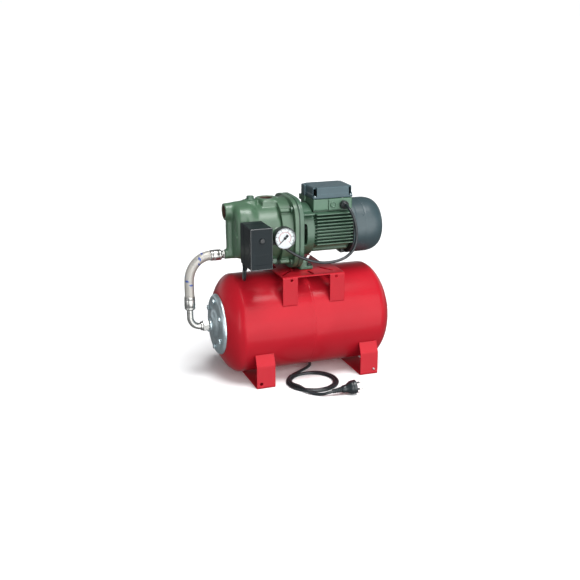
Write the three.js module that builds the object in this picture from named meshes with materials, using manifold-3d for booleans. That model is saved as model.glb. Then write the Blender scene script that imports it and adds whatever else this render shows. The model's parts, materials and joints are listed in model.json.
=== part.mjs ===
// An automatic booster set: a shallow well jet pump with its motor, standing on a horizontal pressure tank.
// Millimetres. +X runs along the tank and motor towards the fan, +Y to the back, +Z up from the floor.
// Pieces are laid out with x = 0 at the tank's middle seam, and the group is then centred over the floor.
import * as THREE from "three";
import { mergeVertices } from "three/addons/utils/BufferGeometryUtils.js";
import Module from "manifold-3d";

const wasm = await Module();
wasm.setup();

// ---- driving dimensions -------------------------------------------------------------------------------

const GAP = 0.3; // left between pieces that touch

const TANK = {
  radius: 137.5, wall: 1.6, axisZ: 150.8, shoulderX: 192, domeDepth: 62, domePower: 1.75,
  mouthX: -236, mouthRadius: 52, valveHole: 6,
};
const FLANGE = {
  faceX: -247, rimRadius: 84, faceRadius: 72, coneRadius: 46, nozzleRadius: 17, bolts: 6, boltCircle: 64,
};
const FOOT = {
  width: 53, thickness: 3, halfSpan: 139.2, bendZ: 64, topSpan: 124, holeInset: 13, holeZ: 13.5,
};
const FOOT_X = { left: -144, right: 158.5 };
const SADDLE = {
  halfLength: 89, backHalfLength: 67, waistY: [-30, -5], halfWidth: 119.4,
  topZ: 299.5, thickness: 3, legWidth: 43,
};

const PUMP = {
  axisZ: 400.8, frontX: -196, stepX: -80, flangeX: -45, jointX: -33.2, barrelRadius: 80,
  neckHalfWidth: 85, neckHalfHeight: 92, neckPower: 2.2,
};
const PORT = {
  bore: 16.5, suctionX: -213, suctionZ: 464,
  deliveryX: -96, deliveryTopZ: 495.5, fillerX: -140.5, fillerTopZ: 491,
};
const JOINT = { halfWidth: 95, halfHeight: 97, power: 3.6, boltY: 70, boltZ: 72 };
const HOSE_PORT_Z = 347;
const SIDE_PORT = { gaugeX: -88.4, gaugeZ: 412, switchX: -166.5, switchZ: 400, faceY: -84 };
const DRAIN = { x: -93, z: 333, faceY: -56 };

const MOTOR = {
  frontX: 20.3, backX: 131, shell: 62, bore: 58.3,
  finReach: 76, finCount: 10, finPitch: 9.1, finZ: -31, finThickness: 4.2,
};
const SHAFT = { radius: 7, frontX: -82, backX: 177 };
const FAN_COVER = { radius: 76.2, startX: 133.3, shoulderX: 182, endX: 229, endRadius: 44, wall: 2.2 };
const TERMINAL = {
  x: [22.5, 136.5], y: [-50, 36.5], baseBackY: 50, baseZ: [457.6, 490], topZ: 521.8, wall: 3,
  rearStep: 5.5, rearY: 8, rearZ: 474.5,
};
const GLAND = { x: 109, z: 472, blankX: 78.3, faceY: -53.5 };

const SWITCH = {
  x: [-196, -137], z: [344, 452.5], backY: -88, splitY: -122, frontY: -178.3, wall: 2.6,
};
const SWITCH_NUT = { x: -165.7, z: 421.5 };
const GAUGE = { radius: 29.5, frontY: -139, backY: -113, dialY: -134.4 };

const HOSE = {
  portX: -215, radius: 13, ferrule: 14.8, bendX: -315, bendRise: 68, lowerZ: 237.3, upperX: -255.6,
};
const FERRULE_LENGTH = 31;
const ELBOW = { radius: 8.75, bend: 28 };

const MOTOR_LEAD_RADIUS = 4;
const MAINS_LEAD_RADIUS = 4;
const COIL = { x: -12, y: -142, inner: 55.4, outer: 72.6, height: 9 };
const PLUG = { x: 5, y: -246, z: 12.6, tilt: 6.5, heading: -4, bodyLength: 66, pinLength: 19, pinPitch: 19 };

// ---- finishes ------------------------------------------------------------------------------------------

const FINISHES = {
  redPaint: { color: 0xc4202f, roughness: 0.3, metalness: 0.1 },
  greenPaint: { color: 0x4f7a58, roughness: 0.45, metalness: 0.1 },
  blackPlastic: { color: 0x1d2526, roughness: 0.45, metalness: 0 },
  greyPlastic: { color: 0x33464a, roughness: 0.5, metalness: 0 },
  zinc: { color: 0xb9c4c8, roughness: 0.3, metalness: 1 },
  steel: { color: 0xc0c4c6, roughness: 0.35, metalness: 1 },
  nickel: { color: 0xd8d2c6, roughness: 0.2, metalness: 1 },
  brass: { color: 0xc9a860, roughness: 0.3, metalness: 1 },
  copper: { color: 0xb8734a, roughness: 0.4, metalness: 1 },
  rubber: { color: 0x202224, roughness: 0.8, metalness: 0 },
  resin: { color: 0xe6e0cf, roughness: 0.5, metalness: 0 },
  glass: { color: 0xf4f8fa, roughness: 0.05, metalness: 0, transparent: true, opacity: 0.35 },
};

const set = new THREE.Group();

function piece(name, geometry, finish) {
  const mesh = new THREE.Mesh(geometry, new THREE.MeshStandardMaterial(FINISHES[finish]));
  mesh.name = name;
  set.add(mesh);
  return mesh;
}

// ---- shape helpers -------------------------------------------------------------------------------------

const vec = (x, y, z) => new THREE.Vector3(x, y, z);
const rad = THREE.MathUtils.degToRad;

function solidOf(geometry) {
  const bare = geometry.index ? geometry.toNonIndexed() : geometry.clone();
  bare.deleteAttribute("normal");
  bare.deleteAttribute("uv");
  const merged = mergeVertices(bare, 1e-4);
  return new wasm.Manifold(new wasm.Mesh({
    numProp: 3,
    vertProperties: merged.attributes.position.array,
    triVerts: new Uint32Array(merged.index.array),
  }));
}

function geometryOf(solid) {
  const mesh = solid.getMesh();
  const geometry = new THREE.BufferGeometry();
  geometry.setAttribute("position", new THREE.BufferAttribute(mesh.vertProperties, 3));
  geometry.setIndex(new THREE.BufferAttribute(mesh.triVerts, 1));
  geometry.computeVertexNormals();
  return geometry;
}

const join = (...parts) => geometryOf(parts.map(solidOf).reduce((a, b) => a.add(b)));
const cut = (base, ...tools) => geometryOf(tools.map(solidOf).reduce((a, b) => a.subtract(b), solidOf(base)));

// A box from its ranges along X, Y and Z.
function block([x0, x1], [y0, y1], [z0, z1]) {
  const box = new THREE.BoxGeometry(x1 - x0, y1 - y0, z1 - z0);
  return box.translate((x0 + x1) / 2, (y0 + y1) / 2, (z0 + z1) / 2);
}

// A round or many-sided bar between two points.
function bar(from, to, radius, sides = 16, endRadius = radius) {
  const along = to.clone().sub(from);
  const cylinder = new THREE.CylinderGeometry(endRadius, radius, along.length(), sides);
  const turn = new THREE.Quaternion().setFromUnitVectors(vec(0, 1, 0), along.clone().normalize());
  const middle = from.clone().add(to).multiplyScalar(0.5);
  return cylinder.applyQuaternion(turn).translate(middle.x, middle.y, middle.z);
}

const hexBar = (from, to, acrossFlats) => bar(from, to, acrossFlats / Math.sqrt(3), 6);

// A profile of [radius, station] turned about the X axis at height z; stations run along +X.
function turnedX(profile, z, sides = 24) {
  const points = profile.map(([radius, station]) => new THREE.Vector2(radius, station));
  return new THREE.LatheGeometry(points, sides).rotateZ(-Math.PI / 2).translate(0, 0, z);
}

// The same about the Y axis through (x, z); stations run along +Y.
function turnedY(profile, x, z, sides = 28) {
  const points = profile.map(([radius, station]) => new THREE.Vector2(radius, station));
  return new THREE.LatheGeometry(points, sides).translate(x, 0, z);
}

// A closed ring of rectangular section about the X axis.
function ringX(inner, outer, [x0, x1], z, sides = 24) {
  return turnedX([[inner, x0], [outer, x0], [outer, x1], [inner, x1], [inner, x0]], z, sides);
}

// An outline in (Y, Z) extruded along X.
function extrudeX(shape, [x0, x1]) {
  const solid = new THREE.ExtrudeGeometry(shape, { depth: x1 - x0, bevelEnabled: false });
  const basis = new THREE.Matrix4().makeBasis(vec(0, 1, 0), vec(0, 0, 1), vec(1, 0, 0));
  return solid.applyMatrix4(basis).translate(x0, 0, 0);
}

// An outline in (X, Y) extruded along Z.
function extrudeZ(shape, [z0, z1]) {
  const solid = new THREE.ExtrudeGeometry(shape, { depth: z1 - z0, bevelEnabled: false, curveSegments: 3 });
  return solid.translate(0, 0, z0);
}

// An outline in (X, Z) extruded along Y.
function extrudeY(shape, [y0, y1]) {
  const solid = new THREE.ExtrudeGeometry(shape, { depth: y1 - y0, bevelEnabled: false, curveSegments: 2 });
  const basis = new THREE.Matrix4().makeBasis(vec(1, 0, 0), vec(0, 0, 1), vec(0, -1, 0));
  return solid.applyMatrix4(basis).translate(0, y1, 0);
}

function outline(points) {
  return new THREE.Shape(points.map(([u, v]) => new THREE.Vector2(u, v)));
}

function roundedRect([u0, u1], [v0, v1], radius) {
  const shape = new THREE.Shape();
  shape.moveTo(u0 + radius, v0);
  shape.lineTo(u1 - radius, v0);
  shape.absarc(u1 - radius, v0 + radius, radius, -Math.PI / 2, 0);
  shape.lineTo(u1, v1 - radius);
  shape.absarc(u1 - radius, v1 - radius, radius, 0, Math.PI / 2);
  shape.lineTo(u0 + radius, v1);
  shape.absarc(u0 + radius, v1 - radius, radius, Math.PI / 2, Math.PI);
  shape.lineTo(u0, v0 + radius);
  shape.absarc(u0 + radius, v0 + radius, radius, Math.PI, 1.5 * Math.PI);
  return shape;
}

// A rounded square outline: a superellipse about (u, v).
function superellipse([u, v], halfWidth, halfHeight, power, count = 24) {
  const points = [];
  for (let i = 0; i < count; i += 1) {
    const angle = (i / count) * 2 * Math.PI;
    const c = Math.cos(angle);
    const s = Math.sin(angle);
    points.push([
      u + halfWidth * Math.sign(c) * Math.abs(c) ** (2 / power),
      v + halfHeight * Math.sign(s) * Math.abs(s) ** (2 / power),
    ]);
  }
  return outline(points);
}

// A tube of round section along a smooth curve through the points.
function tubeAlong(points, radius, steps, sides = 10) {
  const curve = new THREE.CatmullRomCurve3(points.map((p) => vec(...p)), false, "centripetal");
  const section = new THREE.Shape();
  for (let i = 0; i < sides; i += 1) {
    const angle = (i / sides) * 2 * Math.PI;
    const at = [radius * Math.cos(angle), radius * Math.sin(angle)];
    if (i === 0) section.moveTo(...at);
    else section.lineTo(...at);
  }
  section.closePath();
  return new THREE.ExtrudeGeometry(section, { steps, bevelEnabled: false, extrudePath: curve });
}

// ---- pressure tank -------------------------------------------------------------------------------------

// Half of the tank's profile past one shoulder, from the shoulder to where the radius has shrunk to `stop`.
function domeProfile(radius, depth, stop, count = 6) {
  const points = [];
  const stopShare = (1 - (stop / radius) ** TANK.domePower) ** (1 / TANK.domePower);
  const last = Math.asin(Math.min(1, stopShare ** (TANK.domePower / 2)));
  for (let i = 0; i <= count; i += 1) {
    const angle = (i / count) * last;
    points.push([
      radius * Math.cos(angle) ** (2 / TANK.domePower),
      TANK.shoulderX + depth * Math.sin(angle) ** (2 / TANK.domePower),
    ]);
  }
  return points;
}

function tankShell() {
  const outerDome = domeProfile(TANK.radius, TANK.domeDepth, TANK.valveHole);
  const innerRadius = TANK.radius - TANK.wall;
  const innerDome = domeProfile(innerRadius, TANK.domeDepth - TANK.wall, TANK.valveHole, 4);
  const seatRadius = FLANGE.rimRadius + 3;
  const outerMouth = domeProfile(TANK.radius, TANK.domeDepth, seatRadius, 4).map(([r, x]) => [r, -x]);
  const innerMouth = domeProfile(innerRadius, TANK.domeDepth - TANK.wall, seatRadius - 2, 2)
    .map(([r, x]) => [r, -x]);
  const seat = [[TANK.mouthRadius, TANK.mouthX], [seatRadius - 1, TANK.mouthX]];
  const seatInside = [[seatRadius - 3, TANK.mouthX + TANK.wall], [TANK.mouthRadius, TANK.mouthX + TANK.wall]];
  const profile = [
    ...seat, ...outerMouth.reverse(), ...outerDome,
    ...innerDome.reverse(), ...innerMouth, ...seatInside, seat[0],
  ];
  return cut(turnedX(profile, TANK.axisZ, 30), ...boltHoles(4.4));
}

// Points on the flange's bolt circle, at station x.
function flangeBoltPoint(index, x) {
  const angle = rad(30 + (360 / FLANGE.bolts) * index);
  return vec(x, FLANGE.boltCircle * Math.cos(angle), TANK.axisZ + FLANGE.boltCircle * Math.sin(angle));
}

function boltHoles(radius) {
  const holes = [];
  for (let i = 0; i < FLANGE.bolts; i += 1) {
    holes.push(bar(flangeBoltPoint(i, TANK.mouthX - 20), flangeBoltPoint(i, TANK.mouthX + 12), radius, 8));
  }
  return holes;
}

function tankFlange() {
  const back = TANK.mouthX - GAP;
  const { faceX, rimRadius, faceRadius, coneRadius, nozzleRadius } = FLANGE;
  const profile = [
    [10, faceX - 17], [nozzleRadius, faceX - 17], [nozzleRadius, faceX - 12], [coneRadius, faceX],
    [faceRadius, faceX], [rimRadius - 2, faceX + 4], [rimRadius, back],
    [56, back], [54, faceX + 4], [coneRadius - 8, faceX + 2],
    [18, faceX - 6], [10, faceX - 6], [10, faceX - 17],
  ];
  return cut(turnedX(profile, TANK.axisZ, 28), ...boltHoles(4.4));
}

function flangeBolt(index) {
  const face = FLANGE.faceX - GAP;
  const head = hexBar(flangeBoltPoint(index, face - 5.3), flangeBoltPoint(index, face), 13);
  return join(head, bar(flangeBoltPoint(index, face - 1), flangeBoltPoint(index, TANK.mouthX + 10), 4, 8));
}

// The rubber bladder that holds the water; its lip is held under the flange.
function tankMembrane() {
  const lip = FLANGE.faceX + 4.6;
  const outer = [
    [50, lip], [50, TANK.mouthX - 1], [46, TANK.mouthX + 4], [70, TANK.mouthX + 30], [104, -150], [112, -40],
    [108, 60], [88, 130], [50, 166], [12, 178],
  ];
  const inner = outer.slice(3).map(([r, x]) => [Math.max(r - 2.5, 1), x + (x > 120 ? -2.5 : 0)]);
  const neck = [[43, TANK.mouthX + 4], [38, TANK.mouthX - 1], [38, lip], [50, lip]];
  return turnedX([...outer, [1, 178], ...inner.reverse(), ...neck], TANK.axisZ, 12);
}

function airValve() {
  const seat = TANK.shoulderX + TANK.domeDepth;
  const profile = [
    [2, seat - 8], [5.6, seat - 8], [5.6, seat + GAP], [9, seat + GAP], [9, seat + 4], [4, seat + 4],
    [4, seat + 16], [2, seat + 16], [2, seat - 8],
  ];
  return turnedX(profile, TANK.axisZ, 12);
}

function airValveCap() {
  const seat = TANK.shoulderX + TANK.domeDepth + 4 + GAP;
  const profile = [
    [4.4, seat], [9, seat], [9, seat + 12], [7, seat + 15], [0, seat + 15], [0, seat + 12.6],
    [4.4, seat + 12.6], [4.4, seat],
  ];
  return turnedX(profile, TANK.axisZ, 12);
}

// One foot: a strap bent under the tank, with an upright leg at the front and back.
function foot(centreX, outerSide) {
  const { thickness: t, halfSpan, bendZ, topSpan, width } = FOOT;
  const topZ = TANK.axisZ - Math.sqrt(TANK.radius ** 2 - topSpan ** 2) + 6;
  const right = [
    [halfSpan, 0], [halfSpan, bendZ], [topSpan, topZ],
    [topSpan - t, topZ - 1], [halfSpan - t, bendZ - 1], [halfSpan - t, t],
  ];
  const left = right.map(([y, z]) => [-y, z]).reverse();
  const strap = extrudeX(outline([...left, ...right].reverse()), [centreX - width / 2, centreX + width / 2]);
  const holeX = centreX + outerSide * (width / 2 - FOOT.holeInset);
  const inHole = (y) => vec(holeX, y, FOOT.holeZ);
  const hole = (side) => bar(inHole(side * (halfSpan + 5)), inHole(side * (halfSpan - 9)), 4.3, 16);
  const onTankAxis = (x) => vec(x, 0, TANK.axisZ);
  const tankSpace = bar(onTankAxis(centreX - width), onTankAxis(centreX + width), TANK.radius + 1, 72);
  return cut(strap, hole(-1), hole(1), tankSpace);
}

// A slot of the saddle's plate, from one point to another.
function plateSlot([x0, y0], [x1, y1], width = 7) {
  const low = SADDLE.topZ - 2 * SADDLE.thickness;
  const length = Math.hypot(x1 - x0, y1 - y0);
  const slot = block([-length / 2, length / 2], [-width / 2, width / 2], [low, SADDLE.topZ + 3]);
  return slot.rotateZ(Math.atan2(y1 - y0, x1 - x0)).translate((x0 + x1) / 2, (y0 + y1) / 2, 0);
}

// A fixing hole near the top of one of the saddle's front legs.
function legHole(x) {
  const at = (y) => vec(x, y, SADDLE.topZ - 9.5);
  return bar(at(-SADDLE.halfWidth - 5), at(-SADDLE.halfWidth + 8), 3.6, 14);
}

// What is cut from one side of the saddle, whose back half is narrower than its front half.
function saddleSideCut(side) {
  const { halfLength, backHalfLength, waistY: [wide, narrow], halfWidth, topZ } = SADDLE;
  const corner = [[halfLength, wide], [halfLength + 10, wide], [halfLength + 10, halfWidth + 10],
    [backHalfLength, halfWidth + 10], [backHalfLength, narrow]];
  const points = corner.map(([x, y]) => [side * x, y]);
  return extrudeZ(outline(side > 0 ? points : points.reverse()), [TANK.axisZ - 10, topZ + 10]);
}

// The pump's saddle: a plate over the tank with two legs at the front and two at the back.
function saddleBracket() {
  const { halfLength: hl, backHalfLength, halfWidth: hw, topZ, thickness: t, legWidth } = SADDLE;
  const inside = hw - t;
  const section = outline([
    [-hw, TANK.axisZ], [-inside, TANK.axisZ], [-inside, topZ - t], [inside, topZ - t], [inside, TANK.axisZ],
    [hw, TANK.axisZ], [hw, topZ - 1.5], [hw - 1.5, topZ], [-hw + 1.5, topZ], [-hw, topZ - 1.5],
  ]);
  const tools = [
    bar(vec(-hl - 10, 0, TANK.axisZ), vec(hl + 10, 0, TANK.axisZ), TANK.radius + 1, 72),
    block([-hl + legWidth, hl - legWidth], [-hw - 5, 0], [TANK.axisZ - 5, topZ - t]),
    block([-backHalfLength + legWidth, backHalfLength - legWidth], [0, hw + 5], [TANK.axisZ - 5, topZ - t]),
    saddleSideCut(-1), saddleSideCut(1),
    legHole(-64), legHole(64),
  ];
  for (const side of [-1, 1]) {
    tools.push(plateSlot([-80, side * 92], [-40, side * 50]));
    tools.push(plateSlot([1, side * 104], [-1, side * 72]));
    tools.push(plateSlot([40, side * 46], [63, side * 88]));
    tools.push(bar(vec(9, side * 53, topZ - 8), vec(9, side * 53, topZ + 8), 4.4, 14));
  }
  return cut(extrudeX(section, [-hl, hl]), ...tools);
}

// ---- pump ----------------------------------------------------------------------------------------------

const axisPoint = (x, y = 0, z = 0) => vec(x, y, PUMP.axisZ + z);

// The rounded square outline of the bolted joint between casing and motor bracket.
const jointOutline = (shrink = 0) =>
  superellipse([0, PUMP.axisZ], JOINT.halfWidth - shrink, JOINT.halfHeight - shrink, JOINT.power);

function jointBoltPoints(x) {
  const points = [];
  for (const y of [-JOINT.boltY, JOINT.boltY]) {
    for (const z of [-JOINT.boltZ, JOINT.boltZ]) points.push(axisPoint(x, y, z));
  }
  return points;
}

function jointBoltHoles(x0, x1, radius = 4.6) {
  const ends = jointBoltPoints(x1);
  return jointBoltPoints(x0).map((from, i) => bar(from, ends[i], radius, 8));
}

const onGaugePort = (y) => vec(SIDE_PORT.gaugeX, y, SIDE_PORT.gaugeZ);
const onSwitchPort = (y) => vec(SIDE_PORT.switchX, y, SIDE_PORT.switchZ);

// Short round ribs in line with the joint's bolts, between the barrel's step and the bolt heads.
function boltRibs() {
  const inward = ({ x, y, z }) => vec(x, y * 0.96, PUMP.axisZ + (z - PUMP.axisZ) * 0.96);
  const ends = jointBoltPoints(PUMP.flangeX - 9);
  return jointBoltPoints(PUMP.stepX).map((from, i) => bar(inward(from), inward(ends[i]), 6.5, 10));
}

function pumpCasing() {
  const { frontX, stepX, flangeX, jointX, barrelRadius, axisZ } = PUMP;
  const neck = superellipse([0, axisZ], PUMP.neckHalfWidth, PUMP.neckHalfHeight, PUMP.neckPower, 32);
  const front = superellipse([0, 411], 65, 74, 3.2);
  const body = join(
    extrudeX(front, [frontX, -150]),
    block([frontX - 12, frontX + 4], [-11, 11], [HOSE_PORT_Z, PORT.suctionZ]),
    bar(axisPoint(-166), axisPoint(stepX), barrelRadius, 28),
    extrudeX(neck, [stepX + 4, flangeX + 2]),
    extrudeX(jointOutline(), [flangeX, jointX]),
    bar(vec(PORT.suctionX, 0, PORT.suctionZ), vec(-70, 0, PORT.suctionZ), 22.5, 20),
    bar(vec(PORT.deliveryX, 0, 450), vec(PORT.deliveryX, 0, PORT.deliveryTopZ), 29, 20),
    bar(vec(PORT.fillerX, 0, 450), vec(PORT.fillerX, 0, PORT.fillerTopZ), 20, 16),
    bar(vec(HOSE.portX, 0, HOSE_PORT_Z), vec(-180, 0, HOSE_PORT_Z), 13, 14),
    bar(onGaugePort(-60), onGaugePort(SIDE_PORT.faceY - 6), 13, 12),
    bar(onSwitchPort(-50), onSwitchPort(SIDE_PORT.faceY), 15, 12),
    drainBar(DRAIN.faceY + 32, DRAIN.faceY, 9.5, 12),
    ...boltRibs(),
  );
  const cavity = turnedX([
    [0, -190], [54, -190], [60, -160], [73, -150], [73, jointX + 2], [0, jointX + 2],
  ], axisZ, 24);
  return cut(
    body,
    cavity,
    bar(vec(PORT.suctionX - 5, 0, PORT.suctionZ), vec(-150, 0, PORT.suctionZ), PORT.bore, 20),
    bar(vec(PORT.deliveryX, 0, 430), vec(PORT.deliveryX, 0, 510), PORT.bore, 20),
    bar(vec(PORT.fillerX, 0, 440), vec(PORT.fillerX, 0, 510), 10.4, 16),
    bar(vec(HOSE.portX - 5, 0, HOSE_PORT_Z), vec(-165, 0, HOSE_PORT_Z), 8),
    bar(onGaugePort(-30), onGaugePort(-100), 5, 12),
    bar(onSwitchPort(-30), onSwitchPort(-100), 6.4, 12),
    drainBar(DRAIN.faceY + 24, DRAIN.faceY - 5, 6.3),
    ...jointBoltHoles(flangeX - 8, jointX + 5),
  );
}

// A bar along the drain hole's sloping axis, between two distances from its face, outwards positive.
function drainBar(fromY, toY, radius, sides = 14) {
  return bar(vec(DRAIN.x, fromY, DRAIN.z), vec(DRAIN.x, toY, DRAIN.z), radius, sides);
}

function drainPlug() {
  const face = DRAIN.faceY;
  const head = hexBar(vec(DRAIN.x, face - GAP, DRAIN.z), vec(DRAIN.x, face - 8, DRAIN.z), 13);
  return join(head, drainBar(face + 14, face - GAP - 1, 5.8));
}

function fillerPlug() {
  const top = PORT.fillerTopZ + GAP;
  const at = (z) => vec(PORT.fillerX, 0, z);
  return join(
    bar(at(top), at(top + 3), 14, 20),
    hexBar(at(top + 2), at(top + 11), 18),
    bar(at(top - 14), at(top + 1), 9.8, 16),
  );
}

function ejector() {
  const profile = [
    [8, -189], [15, -189], [15, -183], [21, -179], [21, -150], [14, -146], [16, -94], [11, -94], [6, -146],
    [8, -160], [8, -189],
  ];
  return turnedX(profile, PUMP.axisZ, 16);
}

function diffuser() {
  const profile = [[17, -92], [68, -92], [68, -50], [63, -50], [63, -86], [17, -86], [17, -92]];
  return turnedX(profile, PUMP.axisZ, 24);
}

function impeller() {
  const hub = ringX(SHAFT.radius + GAP, 13, [-81, -60], PUMP.axisZ, 20);
  const shroud = ringX(12, 58, [-63, -60], PUMP.axisZ, 20);
  const vanes = [];
  for (let i = 0; i < 6; i += 1) {
    const vane = block([-74, -62], [-1.5, 1.5], [18, 57]).rotateX(rad(18)).translate(0, 6, 0);
    vanes.push(vane.rotateX((i / 6) * 2 * Math.PI).translate(0, 0, PUMP.axisZ));
  }
  const eye = ringX(22, 58, [-76, -73], PUMP.axisZ, 20);
  return join(hub, shroud, eye, ...vanes);
}

function casingGasket() {
  const sheet = extrudeX(jointOutline(0.6), [PUMP.jointX + GAP, PUMP.jointX + GAP + 1]);
  const bore = bar(axisPoint(PUMP.jointX - 2), axisPoint(PUMP.jointX + 5), 74, 28);
  return cut(sheet, bore, ...jointBoltHoles(PUMP.jointX - 2, PUMP.jointX + 5));
}

function casingBolt(index) {
  const at = (x) => jointBoltPoints(x)[index];
  const face = PUMP.flangeX;
  return join(hexBar(at(face - 6.5), at(face - GAP), 13), bar(at(face - 2), at(-22), 4.2, 8));
}

// The cast bracket between pump and motor, with the set's own foot.
function motorBracket() {
  const front = PUMP.jointX + 1 + 2 * GAP;
  const disc = extrudeX(jointOutline(), [front, -19]);
  const spigot = ringX(60, 72.4, [front - 3, front + 1], PUMP.axisZ, 24);
  const lantern = ringX(62, 72, [-20, MOTOR.frontX - GAP], PUMP.axisZ, 24);
  const wall = ringX(17.5, 64, [8, MOTOR.frontX - GAP], PUMP.axisZ, 24);
  const feet = [];
  for (const side of [-1, 1]) {
    const ys = (a, b) => (side < 0 ? [-b, -a] : [a, b]);
    feet.push(block([-19.5, 1], ys(20, 62), [299.8, 326]));
    feet.push(block([0, 18], ys(36, 62), [299.8, 309]));
    feet.push(block([0, 10], ys(36, 44), [305, 322]));
  }
  const rib = block([-20, 0], [-21, 21], [312, 336]);
  const body = join(disc, spigot, lantern, wall, rib, ...feet);
  const tools = [bar(axisPoint(-40), axisPoint(0), 15.4, 24), ...jointBoltHoles(-40, -10, 4.6)];
  for (const side of [-1, 1]) {
    tools.push(block([-17, -2], [side * 66 - 12, side * 66 + 12], [PUMP.axisZ - 32, PUMP.axisZ + 28]));
    tools.push(bar(vec(9, side * 53, 290), vec(9, side * 53, 320), 4.4, 12));
  }
  tools.push(block([-60, 20], [-90, 90], [290, 299.8]));
  return cut(body, ...tools);
}

function footBolt(side) {
  const at = (z) => vec(9, side * 53, z);
  return join(hexBar(at(309 + GAP), at(314.5), 13), bar(at(291.5), at(310), 4, 12));
}

// ---- motor ---------------------------------------------------------------------------------------------

function motorShaft() {
  const { radius, frontX, backX } = SHAFT;
  return turnedX([
    [0, frontX], [radius - 1, frontX], [radius, frontX + 1],
    [radius, backX - 1], [radius - 1, backX], [0, backX],
  ], PUMP.axisZ, 24);
}

// A ball bearing, drawn as its outer and inner ring in one piece.
const bearing = (x0) => ringX(SHAFT.radius + 0.5, 17.2, [x0, x0 + 10.5], PUMP.axisZ, 24);

function statorCore() {
  const profile = [
    [29.4, 36], [34, 36], [34, 24], [54, 24], [54, 36], [58, 36], [58, 106], [54, 106], [54, 118], [34, 118],
    [34, 106], [29.4, 106], [29.4, 36],
  ];
  return turnedX(profile, PUMP.axisZ, 24);
}

// The finned motor body: a round shell, level fins on both sides, a flat seat on top and a flat base.
function motorHousing() {
  const { frontX, backX, shell, bore, finReach, finCount, finPitch, finZ, finThickness } = MOTOR;
  const parts = [bar(axisPoint(frontX), axisPoint(backX), shell, 40)];
  parts.push(block([frontX + 4, backX - 2], [-44, 44], [PUMP.axisZ + 40, TERMINAL.baseZ[0] - GAP]));
  parts.push(block([frontX, backX], [-57, 57], [PUMP.axisZ - 57.5, PUMP.axisZ - 38]));
  for (let i = 0; i < finCount; i += 1) {
    const z = finZ + i * finPitch;
    const reach = finReach * (1 - Math.abs(z / 110) ** 3) ** (1 / 3);
    const heights = [z - finThickness / 2, z + finThickness / 2].map((edge) => PUMP.axisZ + edge);
    parts.push(block([frontX + 4, backX - 1], [-reach, reach], heights));
  }
  return cut(join(...parts), bar(axisPoint(frontX - 5), axisPoint(backX + 5), bore, 40));
}

// The end shield behind the motor body, with a lug under the body.
function rearShield() {
  const x = MOTOR.backX + GAP;
  const profile = [
    [8, x + 3], [12, x + 3], [17.6, x], [58, x], [73, x], [73, x + 12], [70, x + 12], [70, x + 5],
    [24, x + 5], [24, x + 16], [8, x + 16], [8, x + 3],
  ];
  const under = [PUMP.axisZ - 76, PUMP.axisZ - MOTOR.shell - 2 * GAP];
  return join(turnedX(profile, PUMP.axisZ, 24), block([x - 14, x + 2], [-15, 15], under));
}

function coolingFan() {
  const hub = ringX(SHAFT.radius + GAP, 15, [152, 174], PUMP.axisZ, 24);
  const disc = ringX(14, 60, [152, 155], PUMP.axisZ, 24);
  const blades = [];
  for (let i = 0; i < 7; i += 1) {
    const blade = block([154, 172], [-1.3, 1.3], [14, 60]);
    blades.push(blade.rotateX((i / 7) * 2 * Math.PI).translate(0, 0, PUMP.axisZ));
  }
  return join(hub, disc, ...blades);
}

// The cowl over the fan: a round shell whose end curves in to a grille.
function fanCover() {
  const { radius, startX, shoulderX, endX, endRadius, wall } = FAN_COVER;
  const curve = (r, x, end, count) => {
    const points = [];
    for (let i = 0; i <= count; i += 1) {
      const angle = (i / count) * (Math.PI / 2);
      const along = (end - x) * Math.sin(angle) ** 0.9;
      points.push([endRadius + (r - endRadius) * Math.cos(angle) ** 0.9, x + along]);
    }
    return points;
  };
  const outer = curve(radius, shoulderX, endX, 5);
  const inner = curve(radius - wall, shoulderX, endX - wall, 3).reverse();
  const profile = [
    [radius - wall, startX], [radius, startX], ...outer, [0, endX],
    [0, endX - wall], ...inner, [radius - wall, startX],
  ];
  const slots = [];
  for (let i = 0; i < 12; i += 1) {
    const slot = block([endX - 16, endX + 5], [-2.6, 2.6], [14, 43]);
    slots.push(slot.rotateX((i / 12) * 2 * Math.PI).translate(0, 0, PUMP.axisZ));
  }
  return cut(turnedX(profile, PUMP.axisZ, 32), ...slots);
}

function terminalBase() {
  const { x, y, baseBackY, baseZ, wall } = TERMINAL;
  const outer = extrudeZ(roundedRect(x, [y[0], baseBackY], 5), baseZ);
  const { rearStep, rearY, rearZ } = TERMINAL;
  const rear = block([x[0] - rearStep, x[0] + 6], [rearY, baseBackY], [rearZ, baseZ[1]]);
  const panel = block([66, x[1] - 3], [GLAND.faceY, y[0] + 2], [baseZ[0] + 0.5, baseZ[1] - 1]);
  const onBlank = (at) => vec(GLAND.blankX, at, GLAND.z + 1.5);
  const blank = bar(onBlank(y[0]), onBlank(GLAND.faceY - 3), 8, 16);
  const shellTop = PUMP.axisZ + MOTOR.shell + GAP;
  const room = block([x[0] + wall, x[1] - wall], [y[0] + wall, y[1] - wall], [shellTop + wall, baseZ[1] + 5]);
  const shellSpace = bar(axisPoint(x[0] - 10), axisPoint(x[1] + 10), MOTOR.shell + GAP, 40);
  const glandHole = bar(vec(GLAND.x, GLAND.faceY - 5, GLAND.z), vec(GLAND.x, y[0] + 8, GLAND.z), 6.2, 16);
  const wireWay = bar(vec(40, 0, baseZ[0] - 5), vec(40, 0, baseZ[1]), 8);
  const fanEnd = bar(axisPoint(MOTOR.backX - 0.5), axisPoint(x[1] + 10), FAN_COVER.radius + 0.8, 48);
  return cut(join(outer, rear, panel, blank), room, glandHole, wireWay, fanEnd, shellSpace);
}

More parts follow.
